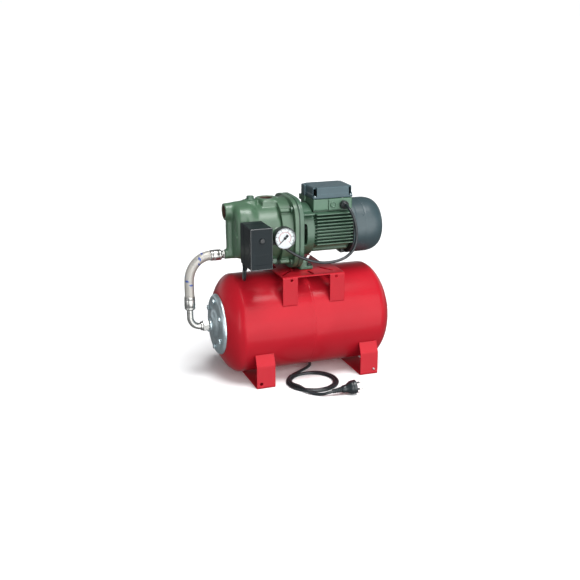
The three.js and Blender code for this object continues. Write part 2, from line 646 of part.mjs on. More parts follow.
function terminalCover() {
  const { x, y, baseZ, topZ, wall } = TERMINAL;
  const low = baseZ[1] + GAP;
  const grown = (range, by) => [range[0] - by, range[1] + by];
  const lower = extrudeZ(roundedRect(grown(x, 0.8), grown(y, 0.8), 7), [low, topZ - 6]);
  const upper = extrudeZ(roundedRect(grown(x, -1.2), grown(y, -1.2), 7), [topZ - 7, topZ]);
  const rear = block([x[0] - TERMINAL.rearStep, x[0] + 8], [TERMINAL.rearY, y[1] - 4], [low, topZ - 2]);
  const room = block(grown(x, -wall), grown(y, -wall), [low - 5, topZ - wall - 3]);
  return cut(join(lower, upper, rear), room);
}

// A cable gland pointing along `out` from the point `seat`: a nut and a domed cap on a short thread.
function gland(seat, out, start) {
  const at = (distance) => seat.clone().addScaledVector(out, distance);
  return join(
    hexBar(at(start), at(5), 22), bar(at(4), at(12), 11.4, 20, 10.8), bar(at(11.5), at(17), 10.8, 20, 7),
    bar(at(-6), at(start + 1), 5.9, 16),
  );
}

// The hole through a gland for its lead.
function glandBore(seat, out) {
  return bar(seat.clone().addScaledVector(out, -11), seat.clone().addScaledVector(out, 30), 4.4, 14);
}

function motorGland() {
  const seat = vec(GLAND.x, GLAND.faceY, GLAND.z);
  return cut(gland(seat, vec(0, -1, 0), GAP), glandBore(seat, vec(0, -1, 0)));
}

// ---- pressure switch and gauge -------------------------------------------------------------------------

// Where the leads leave the switch, each through a tapered strain relief.
const RELIEF_LENGTH = 20;
const SWITCH_GLANDS = {
  motor: { seat: vec(SWITCH.x[1], -104, 393), out: vec(1, 0, 0) },
  mains: { seat: vec(-187, -98, SWITCH.z[0]), out: vec(0, 0, -1) },
};

function switchBase() {
  const { x, z, backY, splitY, wall } = SWITCH;
  const tray = extrudeY(roundedRect(x, z, 3), [splitY + GAP / 2, backY]);
  const room = block([x[0] + wall, x[1] - wall], [splitY - 5, backY - wall], [z[0] + wall, z[1] - wall]);
  const onPort = (y) => vec(SIDE_PORT.switchX, y, SIDE_PORT.switchZ);
  const onStud = (y) => vec(SWITCH_NUT.x, y, SWITCH_NUT.z);
  const nipple = bar(onPort(SIDE_PORT.faceY + 10), onPort(backY - wall - 4), 6, 14);
  const collar = hexBar(onPort(SIDE_PORT.faceY - GAP), onPort(backY - 1), 20);
  const stud = bar(onStud(backY - 2), onStud(SWITCH.frontY - 1.5), 3, 12);
  const reliefs = Object.values(SWITCH_GLANDS).map(({ seat, out }) => {
    const end = seat.clone().addScaledVector(out, RELIEF_LENGTH);
    return bar(seat.clone().addScaledVector(out, -1), end, 7.6, 14, 5.3);
  });
  const bores = Object.values(SWITCH_GLANDS).map(({ seat, out }) => glandBore(seat, out));
  return cut(join(cut(tray, room), nipple, collar, stud, ...reliefs), ...bores);
}

function switchCover() {
  const { x, z, splitY, frontY, wall } = SWITCH;
  const shell = extrudeY(roundedRect(x, z, 3), [frontY + 2, splitY - GAP / 2]);
  const face = extrudeY(roundedRect([x[0] + 2, x[1] - 2], [z[0] + 2, z[1] - 2], 3), [frontY, frontY + 3]);
  const room = block([x[0] + wall, x[1] - wall], [frontY + wall + 1, splitY + 5], [z[0] + wall, z[1] - wall]);
  const onStud = (y) => vec(SWITCH_NUT.x, y, SWITCH_NUT.z);
  const hole = bar(onStud(frontY - 5), onStud(frontY + 10), 3.6, 12);
  return cut(join(shell, face), room, hole);
}

function switchCoverNut() {
  const front = SWITCH.frontY - GAP;
  const at = (y) => vec(SWITCH_NUT.x, y, SWITCH_NUT.z);
  return cut(bar(at(front), at(front - 5), 6.5, 20, 5.5), bar(at(front + 2), at(front - 3.6), 3.4, 12));
}

// The pivoting contact lever inside the switch.
const LEVER = { x: [-158, -143], y: -112, z: [362, 436], pivotZ: 366 };

function switchLever() {
  const { x, y, z, pivotZ } = LEVER;
  return join(block(x, [y - 1, y + 1], z), bar(vec(x[0] - 2, y, pivotZ), vec(x[1] + 2, y, pivotZ), 2.5, 14));
}

function gaugeCase() {
  const { gaugeX: x, gaugeZ: z, faceY } = SIDE_PORT;
  const { radius: r, frontY, backY, dialY } = GAUGE;
  const cup = turnedY([
    [0, dialY], [r - 2.4, dialY], [r - 2.4, frontY], [r, frontY], [r, backY - 2], [r - 3, backY], [0, backY],
  ], x, z, 28);
  const stem = hexBar(vec(x, backY - 2, z), vec(x, faceY - 6 - GAP, z), 14);
  const thread = bar(vec(x, faceY - 8, z), vec(x, faceY + 10, z), 4.7, 12);
  const pivot = bar(vec(x, dialY + 1, z), vec(x, dialY - 0.8, z), 1.4, 12);
  return join(cup, stem, thread, pivot);
}

// The needle points down to the left at no pressure, with a short tail beyond its hub.
function gaugePointer() {
  const { gaugeX: x, gaugeZ: z } = SIDE_PORT;
  const [front, back] = [GAUGE.dialY - 2, GAUGE.dialY - 1.2];
  const shape = outline([[-1.6, 0], [-0.6, 22], [0.6, 22], [1.6, 0], [3, -9], [-3, -9]]);
  const needle = extrudeY(shape, [front, back]);
  const hub = bar(vec(0, front - 0.4, 0), vec(0, back, 0), 3.2, 14);
  return join(needle.rotateY(rad(-135)), hub).translate(x, 0, z);
}

function gaugeLens() {
  const { gaugeX: x, gaugeZ: z } = SIDE_PORT;
  const front = GAUGE.frontY + 0.2;
  return bar(vec(x, front, z), vec(x, front + 1.2, z), GAUGE.radius - 2.8, 28);
}

// ---- hose from the pump to the tank --------------------------------------------------------------------

function hoseNipple() {
  const face = HOSE.portX;
  const at = (x) => vec(x, 0, HOSE_PORT_Z);
  return cut(
    join(
      hexBar(at(face - GAP), at(face - 6), 21),
      bar(at(face - 5), at(HOSE.upperX + FERRULE_LENGTH + GAP), 8),
      bar(at(face - 1), at(face + 14), 7.6),
    ),
    bar(at(face - 30), at(face + 30), 5, 14),
  );
}

// A crimped sleeve between two points, closed at its far end but for the bore.
function ferrule(from, to) {
  const along = to.clone().sub(from).normalize();
  const at = (distance) => from.clone().addScaledVector(along, distance);
  const length = from.distanceTo(to);
  const body = join(
    bar(from, at(3), HOSE.ferrule - 1.2, 16, HOSE.ferrule),
    bar(at(2.9), at(length - 3), HOSE.ferrule, 16),
    bar(at(length - 3.1), to, HOSE.ferrule, 16, HOSE.ferrule - 2),
  );
  return cut(body, bar(at(-5), at(length + 5), 5, 14));
}

function upperFerrule() {
  const at = (x) => vec(x, 0, HOSE_PORT_Z);
  return ferrule(at(HOSE.upperX + GAP), at(HOSE.upperX + FERRULE_LENGTH));
}

function hoseRoute() {
  const { bendX, bendRise, lowerZ, upperX } = HOSE;
  const route = [[bendX, 0, lowerZ]];
  for (let i = 0; i <= 7; i += 1) {
    const angle = Math.PI - (i / 7) * rad(90);
    const rise = bendRise * (Math.sin(angle) - 1);
    route.push([upperX + (upperX - bendX) * Math.cos(angle), 0, HOSE_PORT_Z + rise]);
  }
  return route;
}

// The braided hose, squared off just short of its two sleeves.
function hose() {
  const { bendX, lowerZ, upperX, radius } = HOSE;
  const lowerEnd = block([bendX - 30, bendX + 30], [-30, 30], [lowerZ - 30, lowerZ + GAP]);
  const upperEnd = block([upperX - GAP, upperX + 30], [-30, 30], [HOSE_PORT_Z - 30, HOSE_PORT_Z + 30]);
  return cut(tubeAlong(hoseRoute(), radius, 11, 12), lowerEnd, upperEnd);
}

// The swept elbow that leads into the tank's nozzle, with the hose's lower sleeve.
function hoseElbow() {
  const { bendX, lowerZ } = HOSE;
  const { radius, bend } = ELBOW;
  const route = [[FLANGE.faceX - 40, 0, TANK.axisZ], [bendX + bend, 0, TANK.axisZ]];
  for (let i = 1; i < 6; i += 1) {
    const angle = rad(270 - 15 * i);
    route.push([bendX + bend + bend * Math.cos(angle), 0, TANK.axisZ + bend + bend * Math.sin(angle)]);
  }
  route.push([bendX, 0, TANK.axisZ + bend], [bendX, 0, lowerZ - 30]);
  const sleeve = ferrule(vec(bendX, 0, lowerZ - GAP), vec(bendX, 0, lowerZ - 36));
  return join(tubeAlong(route, radius, 12, 12), sleeve);
}

function elbowNut() {
  const [near, far] = [FLANGE.faceX - 17 - GAP, FLANGE.faceX - 40 + GAP];
  const at = (x) => vec(x, 0, TANK.axisZ);
  return cut(hexBar(at(near), at(far), 27), bar(at(near + 2), at(far - 2), 7, 16));
}

// ---- leads ---------------------------------------------------------------------------------------------

// From the motor's gland, down in a free loop in front of the motor and back to the pressure switch.
const MOTOR_LEAD_ROUTE = [
  [109, -66, 472], [109, -73, 472], [109.5, -84.6, 470], [111, -95, 464], [114, -102.5, 455],
  [117.6, -106.6, 444], [121, -108.6, 430], [124, -110, 412], [125, -111, 393], [121.6, -112.6, 373],
  [111.5, -114.4, 355], [95, -116, 342], [74, -117, 334], [50, -117.4, 330.8], [26, -117, 331],
  [2, -116, 335.6], [-22, -113, 344], [-44, -110, 354.6], [-62, -107, 365.6], [-79, -104.8, 377.6],
  [-94, -104, 387], [-106, -104, 391.8], [-115, -104, 393], [-124, -104, 393], [-132, -104, 393],
];

// From the switch, over and down behind the tank, and forward under it to the coil on the floor.
const MAINS_LEAD_ROUTE = [
  [-187, -98, 342], [-187, -98, 333], [-187, -98, 325.5], [-187, -98, 324.2], [-186.7, -96.3, 313.8],
  [-185.9, -91.5, 304.3], [-184.5, -84.1, 296.9], [-182.5, -74.6, 292.1], [-180, -64.2, 290.4],
  [-177, -52, 290.6], [-171, -32, 292.2], [-163, -9, 293.8],
  [-155.5, 12, 293.2], [-146, 45, 287], [-137, 80, 270], [-126, 112, 243],
  [-113, 135, 208], [-101, 146, 168], [-90, 150, 125], [-80, 149, 82], [-68, 143, 44], [-50, 127, 18],
  [-28, 101, 6.5], [-6, 72, 4.3], [14, 44, 4.3], [27, 20, 4.3], [31, -4, 4.3], [24, -24, 4.3],
  [10, -40, 4.3], [-8, -54, 4.3], [-28, -68, 4.3], [-45, -80, 4.3], [-58.5, -93, 4.3], [-68, -106, 4.3],
];

// From the coil's front to the plug.
const TAIL_ROUTE = [
  [-53, -208, 8], [-42, -222, 5], [-29, -233.5, 4.6], [-15, -242, 7.2], [-4, -245.3, 10.4], [4.6, -246, 12.2],
];

function coilRing(grow = 0) {
  const { inner, outer, height } = COIL;
  const profile = [
    [inner - grow, -grow], [outer + grow, -grow],
    [outer + grow, height + grow], [inner - grow, height + grow], [inner - grow, -grow],
  ].map(([r, z]) => new THREE.Vector2(r, z));
  return new THREE.LatheGeometry(profile, 32).rotateX(Math.PI / 2).translate(COIL.x, COIL.y, 0);
}

// A run of the mains lead, stopping short of the coil and never under the floor.
function leadTube(route, steps) {
  const underFloor = block([-400, 400], [-400, 400], [-60, 0]);
  return cut(tubeAlong(route, MAINS_LEAD_RADIUS, steps, 8), coilRing(GAP), underFloor);
}

function plugBody() {
  const { bodyLength: length, pinLength, pinPitch } = PLUG;
  const moulding = turnedX([
    [0, 0], [5.6, 0], [6.4, 22], [9, 26], [10.5, 36],
    [12, 42], [17.8, 50], [18.4, 54], [18.4, length], [0, length],
  ], 0, 24);
  const onPin = (x, side) => vec(x, 0, (side * pinPitch) / 2);
  const pins = [-1, 1].map((side) => bar(onPin(length - 2, side), onPin(length + pinLength, side), 2.4, 12));
  const body = join(moulding, ...pins);
  body.rotateY(rad(-PLUG.tilt)).rotateZ(rad(PLUG.heading));
  return body.translate(PLUG.x, PLUG.y, PLUG.z);
}

// ---- assembly ------------------------------------------------------------------------------------------

piece("tank_shell", tankShell(), "redPaint");
piece("tank_membrane", tankMembrane(), "rubber");
piece("tank_flange", tankFlange(), "zinc");
for (let i = 0; i < FLANGE.bolts; i += 1) piece(`flange_bolt_${i + 1}`, flangeBolt(i), "zinc");
piece("air_valve", airValve(), "brass");
piece("air_valve_cap", airValveCap(), "blackPlastic");
piece("left_foot", foot(FOOT_X.left, -1), "redPaint");
piece("right_foot", foot(FOOT_X.right, 1), "redPaint");
piece("saddle_bracket", saddleBracket(), "redPaint");

piece("pump_casing", pumpCasing(), "greenPaint");
piece("ejector", ejector(), "resin");
piece("diffuser", diffuser(), "resin");
piece("impeller", impeller(), "brass");
piece("seal_rotary_ring", ringX(SHAFT.radius + GAP, 14, [-57, -46], PUMP.axisZ, 24), "steel");
piece("seal_seat", ringX(SHAFT.radius + 0.6, 15, [-45.6, -30], PUMP.axisZ, 24), "rubber");
piece("casing_gasket", casingGasket(), "rubber");
piece("filler_plug", fillerPlug(), "greenPaint");
piece("drain_plug", drainPlug(), "steel");
for (let i = 0; i < 4; i += 1) piece(`casing_bolt_${i + 1}`, casingBolt(i), "zinc");
piece("motor_bracket", motorBracket(), "greenPaint");
piece("foot_bolt_front", footBolt(-1), "zinc");
piece("foot_bolt_back", footBolt(1), "zinc");

piece("motor_shaft", motorShaft(), "steel");
piece("rotor_core", ringX(SHAFT.radius + GAP, 28.6, [36, 106], PUMP.axisZ, 24), "steel");
piece("stator_core", statorCore(), "copper");
piece("front_bearing", bearing(10), "steel");
piece("rear_bearing", bearing(119.5), "steel");
piece("motor_housing", motorHousing(), "greenPaint");
piece("rear_shield", rearShield(), "greenPaint");
piece("cooling_fan", coolingFan(), "blackPlastic");
piece("fan_cover", fanCover(), "greyPlastic");
piece("terminal_base", terminalBase(), "greenPaint");
piece("terminal_cover", terminalCover(), "blackPlastic");
piece("capacitor", bar(vec(50, 12, 486), vec(118, 12, 486), 16, 20), "resin");
piece("motor_gland", motorGland(), "blackPlastic");

piece("switch_base", switchBase(), "blackPlastic");
piece("switch_cover", switchCover(), "blackPlastic");
piece("switch_cover_nut", switchCoverNut(), "blackPlastic");
piece("switch_lever", switchLever(), "steel");
piece("gauge_case", gaugeCase(), "blackPlastic");
piece("gauge_pointer", gaugePointer(), "blackPlastic");
piece("gauge_lens", gaugeLens(), "glass");

piece("hose_nipple", hoseNipple(), "nickel");
piece("upper_ferrule", upperFerrule(), "nickel");
piece("hose", hose(), "steel");
piece("hose_elbow", hoseElbow(), "nickel");
piece("elbow_nut", elbowNut(), "nickel");

piece("motor_lead", tubeAlong(MOTOR_LEAD_ROUTE, MOTOR_LEAD_RADIUS, 32, 8), "rubber");
const leadParts = [
  piece("mains_lead", leadTube(MAINS_LEAD_ROUTE, 44), "rubber"),
  piece("mains_lead_coil", coilRing(), "rubber"),
  piece("mains_lead_tail", leadTube(TAIL_ROUTE, 8), "rubber"),
  piece("mains_plug", plugBody(), "rubber"),
];

// The origin is on the floor under the middle of the set, without its loose lead.
const extent = new THREE.Box3();
for (const mesh of set.children) {
  if (!leadParts.includes(mesh)) extent.expandByObject(mesh);
}
const centre = extent.getCenter(vec(0, 0, 0));
set.position.set(-centre.x, -centre.y, -extent.min.z);

export default set;
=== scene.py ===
"""A jet pump set on its pressure tank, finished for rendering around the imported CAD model.

Lengths are millimetres in the set's own frame: x = 0 at the tank's weld seam, y = 0 on the tank's
and the motor's axes, z = 0 on the floor. place() turns them into metres in the CAD frame.
"""
import functools
import json
import math
from math import cos, pi, radians, sin

import bpy
import numpy as np
import openvdb
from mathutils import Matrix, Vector


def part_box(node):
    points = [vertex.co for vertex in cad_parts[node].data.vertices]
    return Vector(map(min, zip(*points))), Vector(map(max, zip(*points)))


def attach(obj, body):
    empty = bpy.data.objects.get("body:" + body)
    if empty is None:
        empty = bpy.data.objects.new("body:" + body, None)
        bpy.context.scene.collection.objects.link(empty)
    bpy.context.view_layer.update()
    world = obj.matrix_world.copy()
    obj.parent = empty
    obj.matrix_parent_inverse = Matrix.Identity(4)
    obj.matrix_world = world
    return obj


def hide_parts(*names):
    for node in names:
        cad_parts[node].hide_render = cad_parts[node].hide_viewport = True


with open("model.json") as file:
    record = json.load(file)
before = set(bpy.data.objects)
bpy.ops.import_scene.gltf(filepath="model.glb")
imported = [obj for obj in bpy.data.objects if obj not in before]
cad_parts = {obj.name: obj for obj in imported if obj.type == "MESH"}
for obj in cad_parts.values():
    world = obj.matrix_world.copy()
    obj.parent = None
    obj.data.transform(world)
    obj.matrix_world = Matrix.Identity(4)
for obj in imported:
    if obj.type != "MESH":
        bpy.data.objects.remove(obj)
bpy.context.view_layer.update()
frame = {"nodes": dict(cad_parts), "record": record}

# ---- driving dimensions ------------------------------------------------------------------------------

TANK_LOW, TANK_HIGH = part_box("tank_shell")
TANK_RADIUS = 500 * (TANK_HIGH.y - TANK_LOW.y)
TANK_SHOULDER, TANK_DEPTH, TANK_POWER = 192, 62, 1.75
ORIGIN = Vector((TANK_HIGH.x - 0.001 * (TANK_SHOULDER + TANK_DEPTH), (TANK_LOW.y + TANK_HIGH.y) / 2, 0))


def own(node):
    """A CAD node's lowest and highest corners, in the set's own frame."""
    low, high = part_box(node)
    return [np.array((corner - ORIGIN) * 1000) for corner in (low, high)]


TANK_Z = own("tank_shell")[0][2] + TANK_RADIUS
MOUTH_X = own("tank_shell")[0][0]
SHAFT_Z = float(sum(corner[2] for corner in own("motor_shaft")) / 2)
JOINT_X = own("pump_casing")[1][0]
FLANGE_X = JOINT_X - 11.8
STEP_X = -76
FRONT_X = -196
SUCTION_X, SUCTION_Z, PORT_BORE = own("pump_casing")[0][0], 464, 16.5
DELIVERY_X, DELIVERY_TOP = -96, 495.5
FILLER_X, FILLER_TOP = -140.5, 491
HOSE_Z = 347
HOSE_FACE = -215
GAUGE_X, GAUGE_Z, GAUGE_R = -88.4, 412, 29.5
GAUGE_FRONT, GAUGE_DIAL, GAUGE_BACK = -139, -134.4, -113
SWITCH_PORT = (-166.5, 400)
DRAIN = (-93, -56, 333)
BOLT_Y, BOLT_Z = 70, 72
JOINT_OUTLINE, NECK_OUTLINE = (95, 97, 3.6), (85, 92, 2.2)
HOUSING_X = (20.3, 131)
FIN_COUNT, FIN_PITCH, FIN_LOWEST, FIN_REACH, FIN_HALF = 10, 9.1, -31, 76, 1.8
COWL_X, COWL_SHOULDER, COWL_END, COWL_R, COWL_END_R = 133.3, 182, 229, 76.2, 44
COWL_RING = 170
FLANGE_FACE, FLANGE_RIM, FLANGE_FLAT, CONE_R = -247, 84, 72, 46
HOSE_R, FERRULE_R, HOSE_BEND_X, HOSE_LOW_Z, HOSE_END_X, HOSE_RISE = 13, 14.8, -315, 237.3, -255.6, 68
LEAD_R = 4
GLAND = (109, -53.5, 472)
COIL_CENTRE = (-12, -142)
RELIEF = 20


def place(points):
    return np.asarray(points, float) * 0.001 + np.array(ORIGIN)


def add_object(name, data):
    obj = bpy.data.objects.new(name, data)
    bpy.context.scene.collection.objects.link(obj)
    return obj


# ---- camera ------------------------------------------------------------------------------------------

camera = add_object("camera", bpy.data.cameras.new("camera"))
camera.location = place((-897.27, -2432.99, 1011.51))
camera.rotation_euler = (radians(73.1), 0, radians(-19.69))
camera.data.lens = 59.76
camera.data.sensor_width = 36
camera.data.clip_end = 50
bpy.context.scene.camera = camera

# ---- materials ---------------------------------------------------------------------------------------


class Nodes:
    """Shorthand for building one material's node tree."""

    def __init__(self, name):
        self.material = bpy.data.materials.new(name)
        self.material.use_nodes = True
        self.tree = self.material.node_tree
        self.shader = self.tree.nodes["Principled BSDF"]
        self.place = self.add("ShaderNodeTexCoord").outputs["Object"]

    def add(self, kind, **settings):
        node = self.tree.nodes.new(kind)
        for key, value in settings.items():
            setattr(node, key, value)
        return node

    def settings(self, values):
        for name, value in values.items():
            self.shader.inputs[name].default_value = value

    def link(self, out, socket):
        self.tree.links.new(out, socket)

    def noise(self, size, detail=3, rough=0.55, stretch=(1, 1, 1)):
        """Noise whose blobs are about size millimetres across."""
        mapping = self.add("ShaderNodeMapping")
        mapping.inputs["Scale"].default_value = stretch
        self.link(self.place, mapping.inputs["Vector"])
        node = self.add("ShaderNodeTexNoise")
        node.inputs["Scale"].default_value = 1000 / size
        node.inputs["Detail"].default_value = detail
        node.inputs["Roughness"].default_value = rough
        self.link(mapping.outputs["Vector"], node.inputs["Vector"])
        return node.outputs["Fac"]

    def spread(self, out, low, high, start=0.3, end=0.7):
        """Maps start..end of a value to low..high."""
        node = self.add("ShaderNodeMapRange")
        for key, value in zip(("From Min", "From Max", "To Min", "To Max"), (start, end, low, high)):
            node.inputs[key].default_value = value
        self.link(out, node.inputs["Value"])
        return node.outputs["Result"]

    def mix(self, factor, first, second, blend="MIX"):
        node = self.add("ShaderNodeMix", data_type="RGBA", blend_type=blend)
        for socket, value in zip((0, 6, 7), (factor, first, second)):
            if isinstance(value, bpy.types.NodeSocket):
                self.link(value, node.inputs[socket])
            elif socket:
                node.inputs[socket].default_value = (*value, 1)
            else:
                node.inputs[socket].default_value = value
        return node.outputs[2]

    def bump(self, height, depth, before=None):
        """Bump of the given depth in millimetres."""
        node = self.add("ShaderNodeBump")
        node.inputs["Strength"].default_value = 1
        node.inputs["Distance"].default_value = depth * 0.001
        self.link(height, node.inputs["Height"])
        if before:
            self.link(before, node.inputs["Normal"])
        return node.outputs["Normal"]


MATERIAL = {}


def finish(name, colour, tone=0.08, rough=(0.3, 0.4), metal=0.0, coat=0.0, coat_rough=0.05,
           patch=60, grain=1.2, depth=0.01, wave=None, second=None, stretch=(1, 1, 1), specular=0.5):
    """A finish with patchy tone, uneven gloss and two scales of relief."""
    n = Nodes(name)
    colour = np.array(colour)
    dark, light = colour * (1 - tone), np.minimum(colour * (1 + tone), 1)
    tint = n.mix(n.spread(n.noise(patch, 4), 0, 1), dark, light)
    if second:
        other, size, share = second
        speck = n.spread(n.noise(size, 5, 0.7), 0, 1, share, share + 0.08)
        tint = n.mix(speck, tint, other)
    n.link(tint, n.shader.inputs["Base Color"])
    n.link(n.spread(n.noise(patch / 6, 4, 0.6, stretch), *rough), n.shader.inputs["Roughness"])
    relief = n.bump(n.noise(grain, 3, 0.6, stretch), depth)
    if wave:
        relief = n.bump(n.noise(wave[0], 2), wave[1], relief)
    n.link(relief, n.shader.inputs["Normal"])
    n.settings({"Metallic": metal, "Specular IOR Level": specular, "Coat Weight": coat,
                "Coat Roughness": coat_rough})
    MATERIAL[name] = n.material


finish("red_paint", (0.385, 0.009, 0.018), 0.04, (0.28, 0.31), coat=0.06, coat_rough=0.14, patch=110,
       grain=1.8, depth=0.003, specular=0.12)
finish("green_paint", (0.052, 0.112, 0.064), 0.1, (0.34, 0.46), coat=0.3, coat_rough=0.28, patch=40,
       grain=2.2, depth=0.05, wave=(11, 0.14))
finish("green_smooth", (0.044, 0.100, 0.062), 0.08, (0.34, 0.46), coat=0.15, coat_rough=0.25, patch=40,
       grain=1.5, depth=0.03)
finish("green_light", (0.066, 0.140, 0.090), 0.06, (0.4, 0.5), patch=40, grain=1, depth=0.02)
# A near-black copy of the green paint: painted shade for parts that sit in shadow under the motor and in
# the gap by the cowl.
finish("green_dark", (0.007, 0.013, 0.011), 0.1, (0.4, 0.55), patch=20, grain=1.5, depth=0.03)
finish("zinc", (0.47, 0.56, 0.59), 0.2, (0.26, 0.42), metal=0.85, patch=26, grain=1.4, depth=0.012)
finish("nickel", (0.38, 0.38, 0.365), 0.12, (0.22, 0.34), metal=0.95, patch=20, grain=1, depth=0.008)
finish("steel", (0.5, 0.5, 0.52), 0.1, (0.25, 0.4), metal=1, patch=20, grain=0.8, depth=0.01,
       stretch=(0.1, 1, 1))
finish("copper", (0.45, 0.22, 0.12), 0.2, (0.35, 0.5), metal=0.8, patch=10, grain=1.0, depth=0.05)
finish("brass", (0.62, 0.43, 0.16), 0.12, (0.2, 0.36), metal=1, patch=20, grain=1, depth=0.01)
finish("iron_bore", (0.085, 0.040, 0.028), 0.35, (0.55, 0.75), patch=6, grain=1.4, depth=0.1,
       second=((0.02, 0.016, 0.014), 4, 0.55))
finish("black_plastic", (0.006, 0.0085, 0.0105), 0.12, (0.3, 0.42), patch=50, grain=0.7, depth=0.02)
finish("switch_plastic", (0.005, 0.010, 0.0125), 0.12, (0.36, 0.42), patch=40, grain=0.8, depth=0.01,
       specular=0.16)
finish("box_plastic", (0.040, 0.074, 0.088), 0.1, (0.3, 0.4), patch=50, grain=0.8, depth=0.015,
       specular=0.35)
finish("trim_plastic", (0.006, 0.012, 0.015), 0.1, (0.1, 0.16), patch=30, grain=1, depth=0.004,
       specular=0.9)
finish("cowl_plastic", (0.030, 0.054, 0.062), 0.1, (0.36, 0.44), patch=60, grain=0.9, depth=0.02,
       wave=(40, 0.05), specular=0.5)
finish("rubber", (0.009, 0.014, 0.017), 0.12, (0.28, 0.4), patch=30, grain=1.1, depth=0.015)
finish("resin", (0.07, 0.07, 0.075), 0.1, (0.4, 0.5), patch=20, grain=1, depth=0.02)
finish("dial", (0.72, 0.74, 0.76), 0.02, (0.4, 0.5), patch=30, grain=1, depth=0.004)
finish("ink", (0.008, 0.009, 0.012), 0.05, (0.4, 0.5), patch=10, grain=1, depth=0.004)
finish("red_ink", (0.45, 0.02, 0.025), 0.05, (0.4, 0.5), patch=10, grain=1, depth=0.004)


def glass():
    n = Nodes("gauge_glass")
    n.settings({"Base Color": (0.96, 0.98, 0.98, 1), "Transmission Weight": 1, "IOR": 1.1})
    n.link(n.spread(n.noise(20), 0.02, 0.06), n.shader.inputs["Roughness"])
    return n.material


def braid():
    """Crossed bands of bright wire with blue tracer threads, laid out on the hose's own coordinates."""
    n = Nodes("braid")
    uv = n.add("ShaderNodeTexCoord").outputs["UV"]
    split = n.add("ShaderNodeSeparateXYZ")
    n.link(uv, split.inputs[0])

    def calc(operation, a, b=0.0):
        node = n.add("ShaderNodeMath", operation=operation)
        for socket, value in zip(node.inputs, (a, b)):
            if isinstance(value, bpy.types.NodeSocket):
                n.link(value, socket)
            else:
                socket.default_value = value
        return node.outputs[0]

    def band(sign):
        along = calc("MULTIPLY", split.outputs["X"], sign * BRAID_TURNS_PER_MM)
        return calc("FRACT", calc("MULTIPLY", calc("ADD", along, split.outputs["Y"]), BRAID_BANDS))

    def tracer(sign, offset):
        along = calc("MULTIPLY", split.outputs["X"], sign * BRAID_TURNS_PER_MM)
        around = calc("FRACT", calc("ADD", calc("ADD", along, split.outputs["Y"]), offset))
        in_band = calc("LESS_THAN", around, 0.8 / BRAID_BANDS)
        shows = calc("FRACT", calc("ADD", calc("MULTIPLY", split.outputs["X"], 1 / 11), offset))
        return calc("MULTIPLY", in_band, calc("LESS_THAN", shows, 0.42))

    fine = n.noise(0.8, 3, 0.7)
    weave = calc("MULTIPLY", calc("SINE", calc("MULTIPLY", band(1), pi)),
                 calc("SINE", calc("MULTIPLY", band(-1), pi)))
    wire = n.mix(n.spread(weave, 0, 1, 0.05, 0.6), (0.12, 0.115, 0.105), (0.50, 0.49, 0.46))
    wire = n.mix(n.spread(n.noise(9, 3), 0, 0.4), wire, (0.47, 0.44, 0.39))
    blue = calc("MAXIMUM", tracer(1, 0.06), tracer(1, 0.13))
    n.link(n.mix(blue, wire, (0.004, 0.05, 0.30)), n.shader.inputs["Base Color"])
    n.link(n.spread(fine, 0.3, 0.5), n.shader.inputs["Roughness"])
    n.settings({"Metallic": 0.35})
    n.link(n.bump(weave, 0.25, n.bump(fine, 0.08)), n.shader.inputs["Normal"])
    return n.material


BRAID_BANDS = 14
BRAID_TURNS_PER_MM = 1 / 70
MATERIAL["glass"] = glass()
MATERIAL["braid"] = braid()

# ---- pieces ------------------------------------------------------------------------------------------


def piece(name, shape, material, body="set", replaces=(), slot=None, crease=35, uv=None):
    """A finished piece from (points in millimetres, faces), riding on a body."""
    points, faces = shape
    mesh = bpy.data.meshes.new(name)
    points = place(points)
    if isinstance(faces, np.ndarray):
        mesh.vertices.add(len(points))
        mesh.vertices.foreach_set("co", points.astype(np.float32).ravel())
        mesh.loops.add(faces.size)
        mesh.loops.foreach_set("vertex_index", faces.astype(np.int32).ravel())
        mesh.polygons.add(len(faces))
        mesh.polygons.foreach_set("loop_start", np.arange(0, faces.size, 4, dtype=np.int32))
        mesh.update(calc_edges=True)
    else:
        mesh.from_pydata(points.tolist(), [], faces)
    mesh.validate()
    if uv is not None:
        layer = mesh.uv_layers.new(name="lay")
        corners = np.empty(len(mesh.loops), np.int32)
        mesh.loops.foreach_get("vertex_index", corners)
        layer.data.foreach_set("uv", uv(corners, mesh).ravel())
    mesh.shade_smooth()
    if crease:
        mesh.set_sharp_from_angle(angle=radians(crease))
    mesh.materials.append(MATERIAL[material])
    obj = add_object(name, mesh)
    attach(obj, body)
    if replaces:
        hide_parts(*([replaces] if isinstance(replaces, str) else replaces))
    slot or (material if material in RECORD_SLOTS else SLOT_OF[material])
    return obj


RECORD_SLOTS = {entry["slot"] for entry in frame["record"]["materials"]}
SLOT_OF = {"green_smooth": "green_paint", "green_light": "green_paint", "green_dark": "green_paint",
           "iron_bore": "green_paint", "box_plastic": "black_plastic", "switch_plastic": "black_plastic",
           "trim_plastic": "black_plastic", "cowl_plastic": "grey_plastic", "dial": "black_plastic",
           "ink": "black_plastic", "red_ink": "black_plastic", "braid": "steel"}


# Shapes turned on an axis, from (radius, along) points.


def soften(profile, radius=0.8, steps=3, closed=False):
    """Rounds a profile's corners."""
    points = [np.array(p, float) for p in profile]
    result = [] if closed else [points[0]]
    span = range(len(points)) if closed else range(1, len(points) - 1)
    for i in span:
        before, here, after = points[i - 1], points[i], points[(i + 1) % len(points)]
        reach = [min(radius, 0.45 * np.linalg.norm(end - here)) for end in (before, after)]
        start, stop = [here + (end - here) / max(np.linalg.norm(end - here), 1e-9) * r
                       for end, r in zip((before, after), reach)]
        for t in np.linspace(0, 1, steps + 1):
            result.append((1 - t) ** 2 * start + 2 * t * (1 - t) * here + t ** 2 * stop)
    if not closed:
        result.append(points[-1])
    return result


AXES = {"x": (0, 1, 2), "y": (1, 2, 0), "z": (2, 0, 1)}


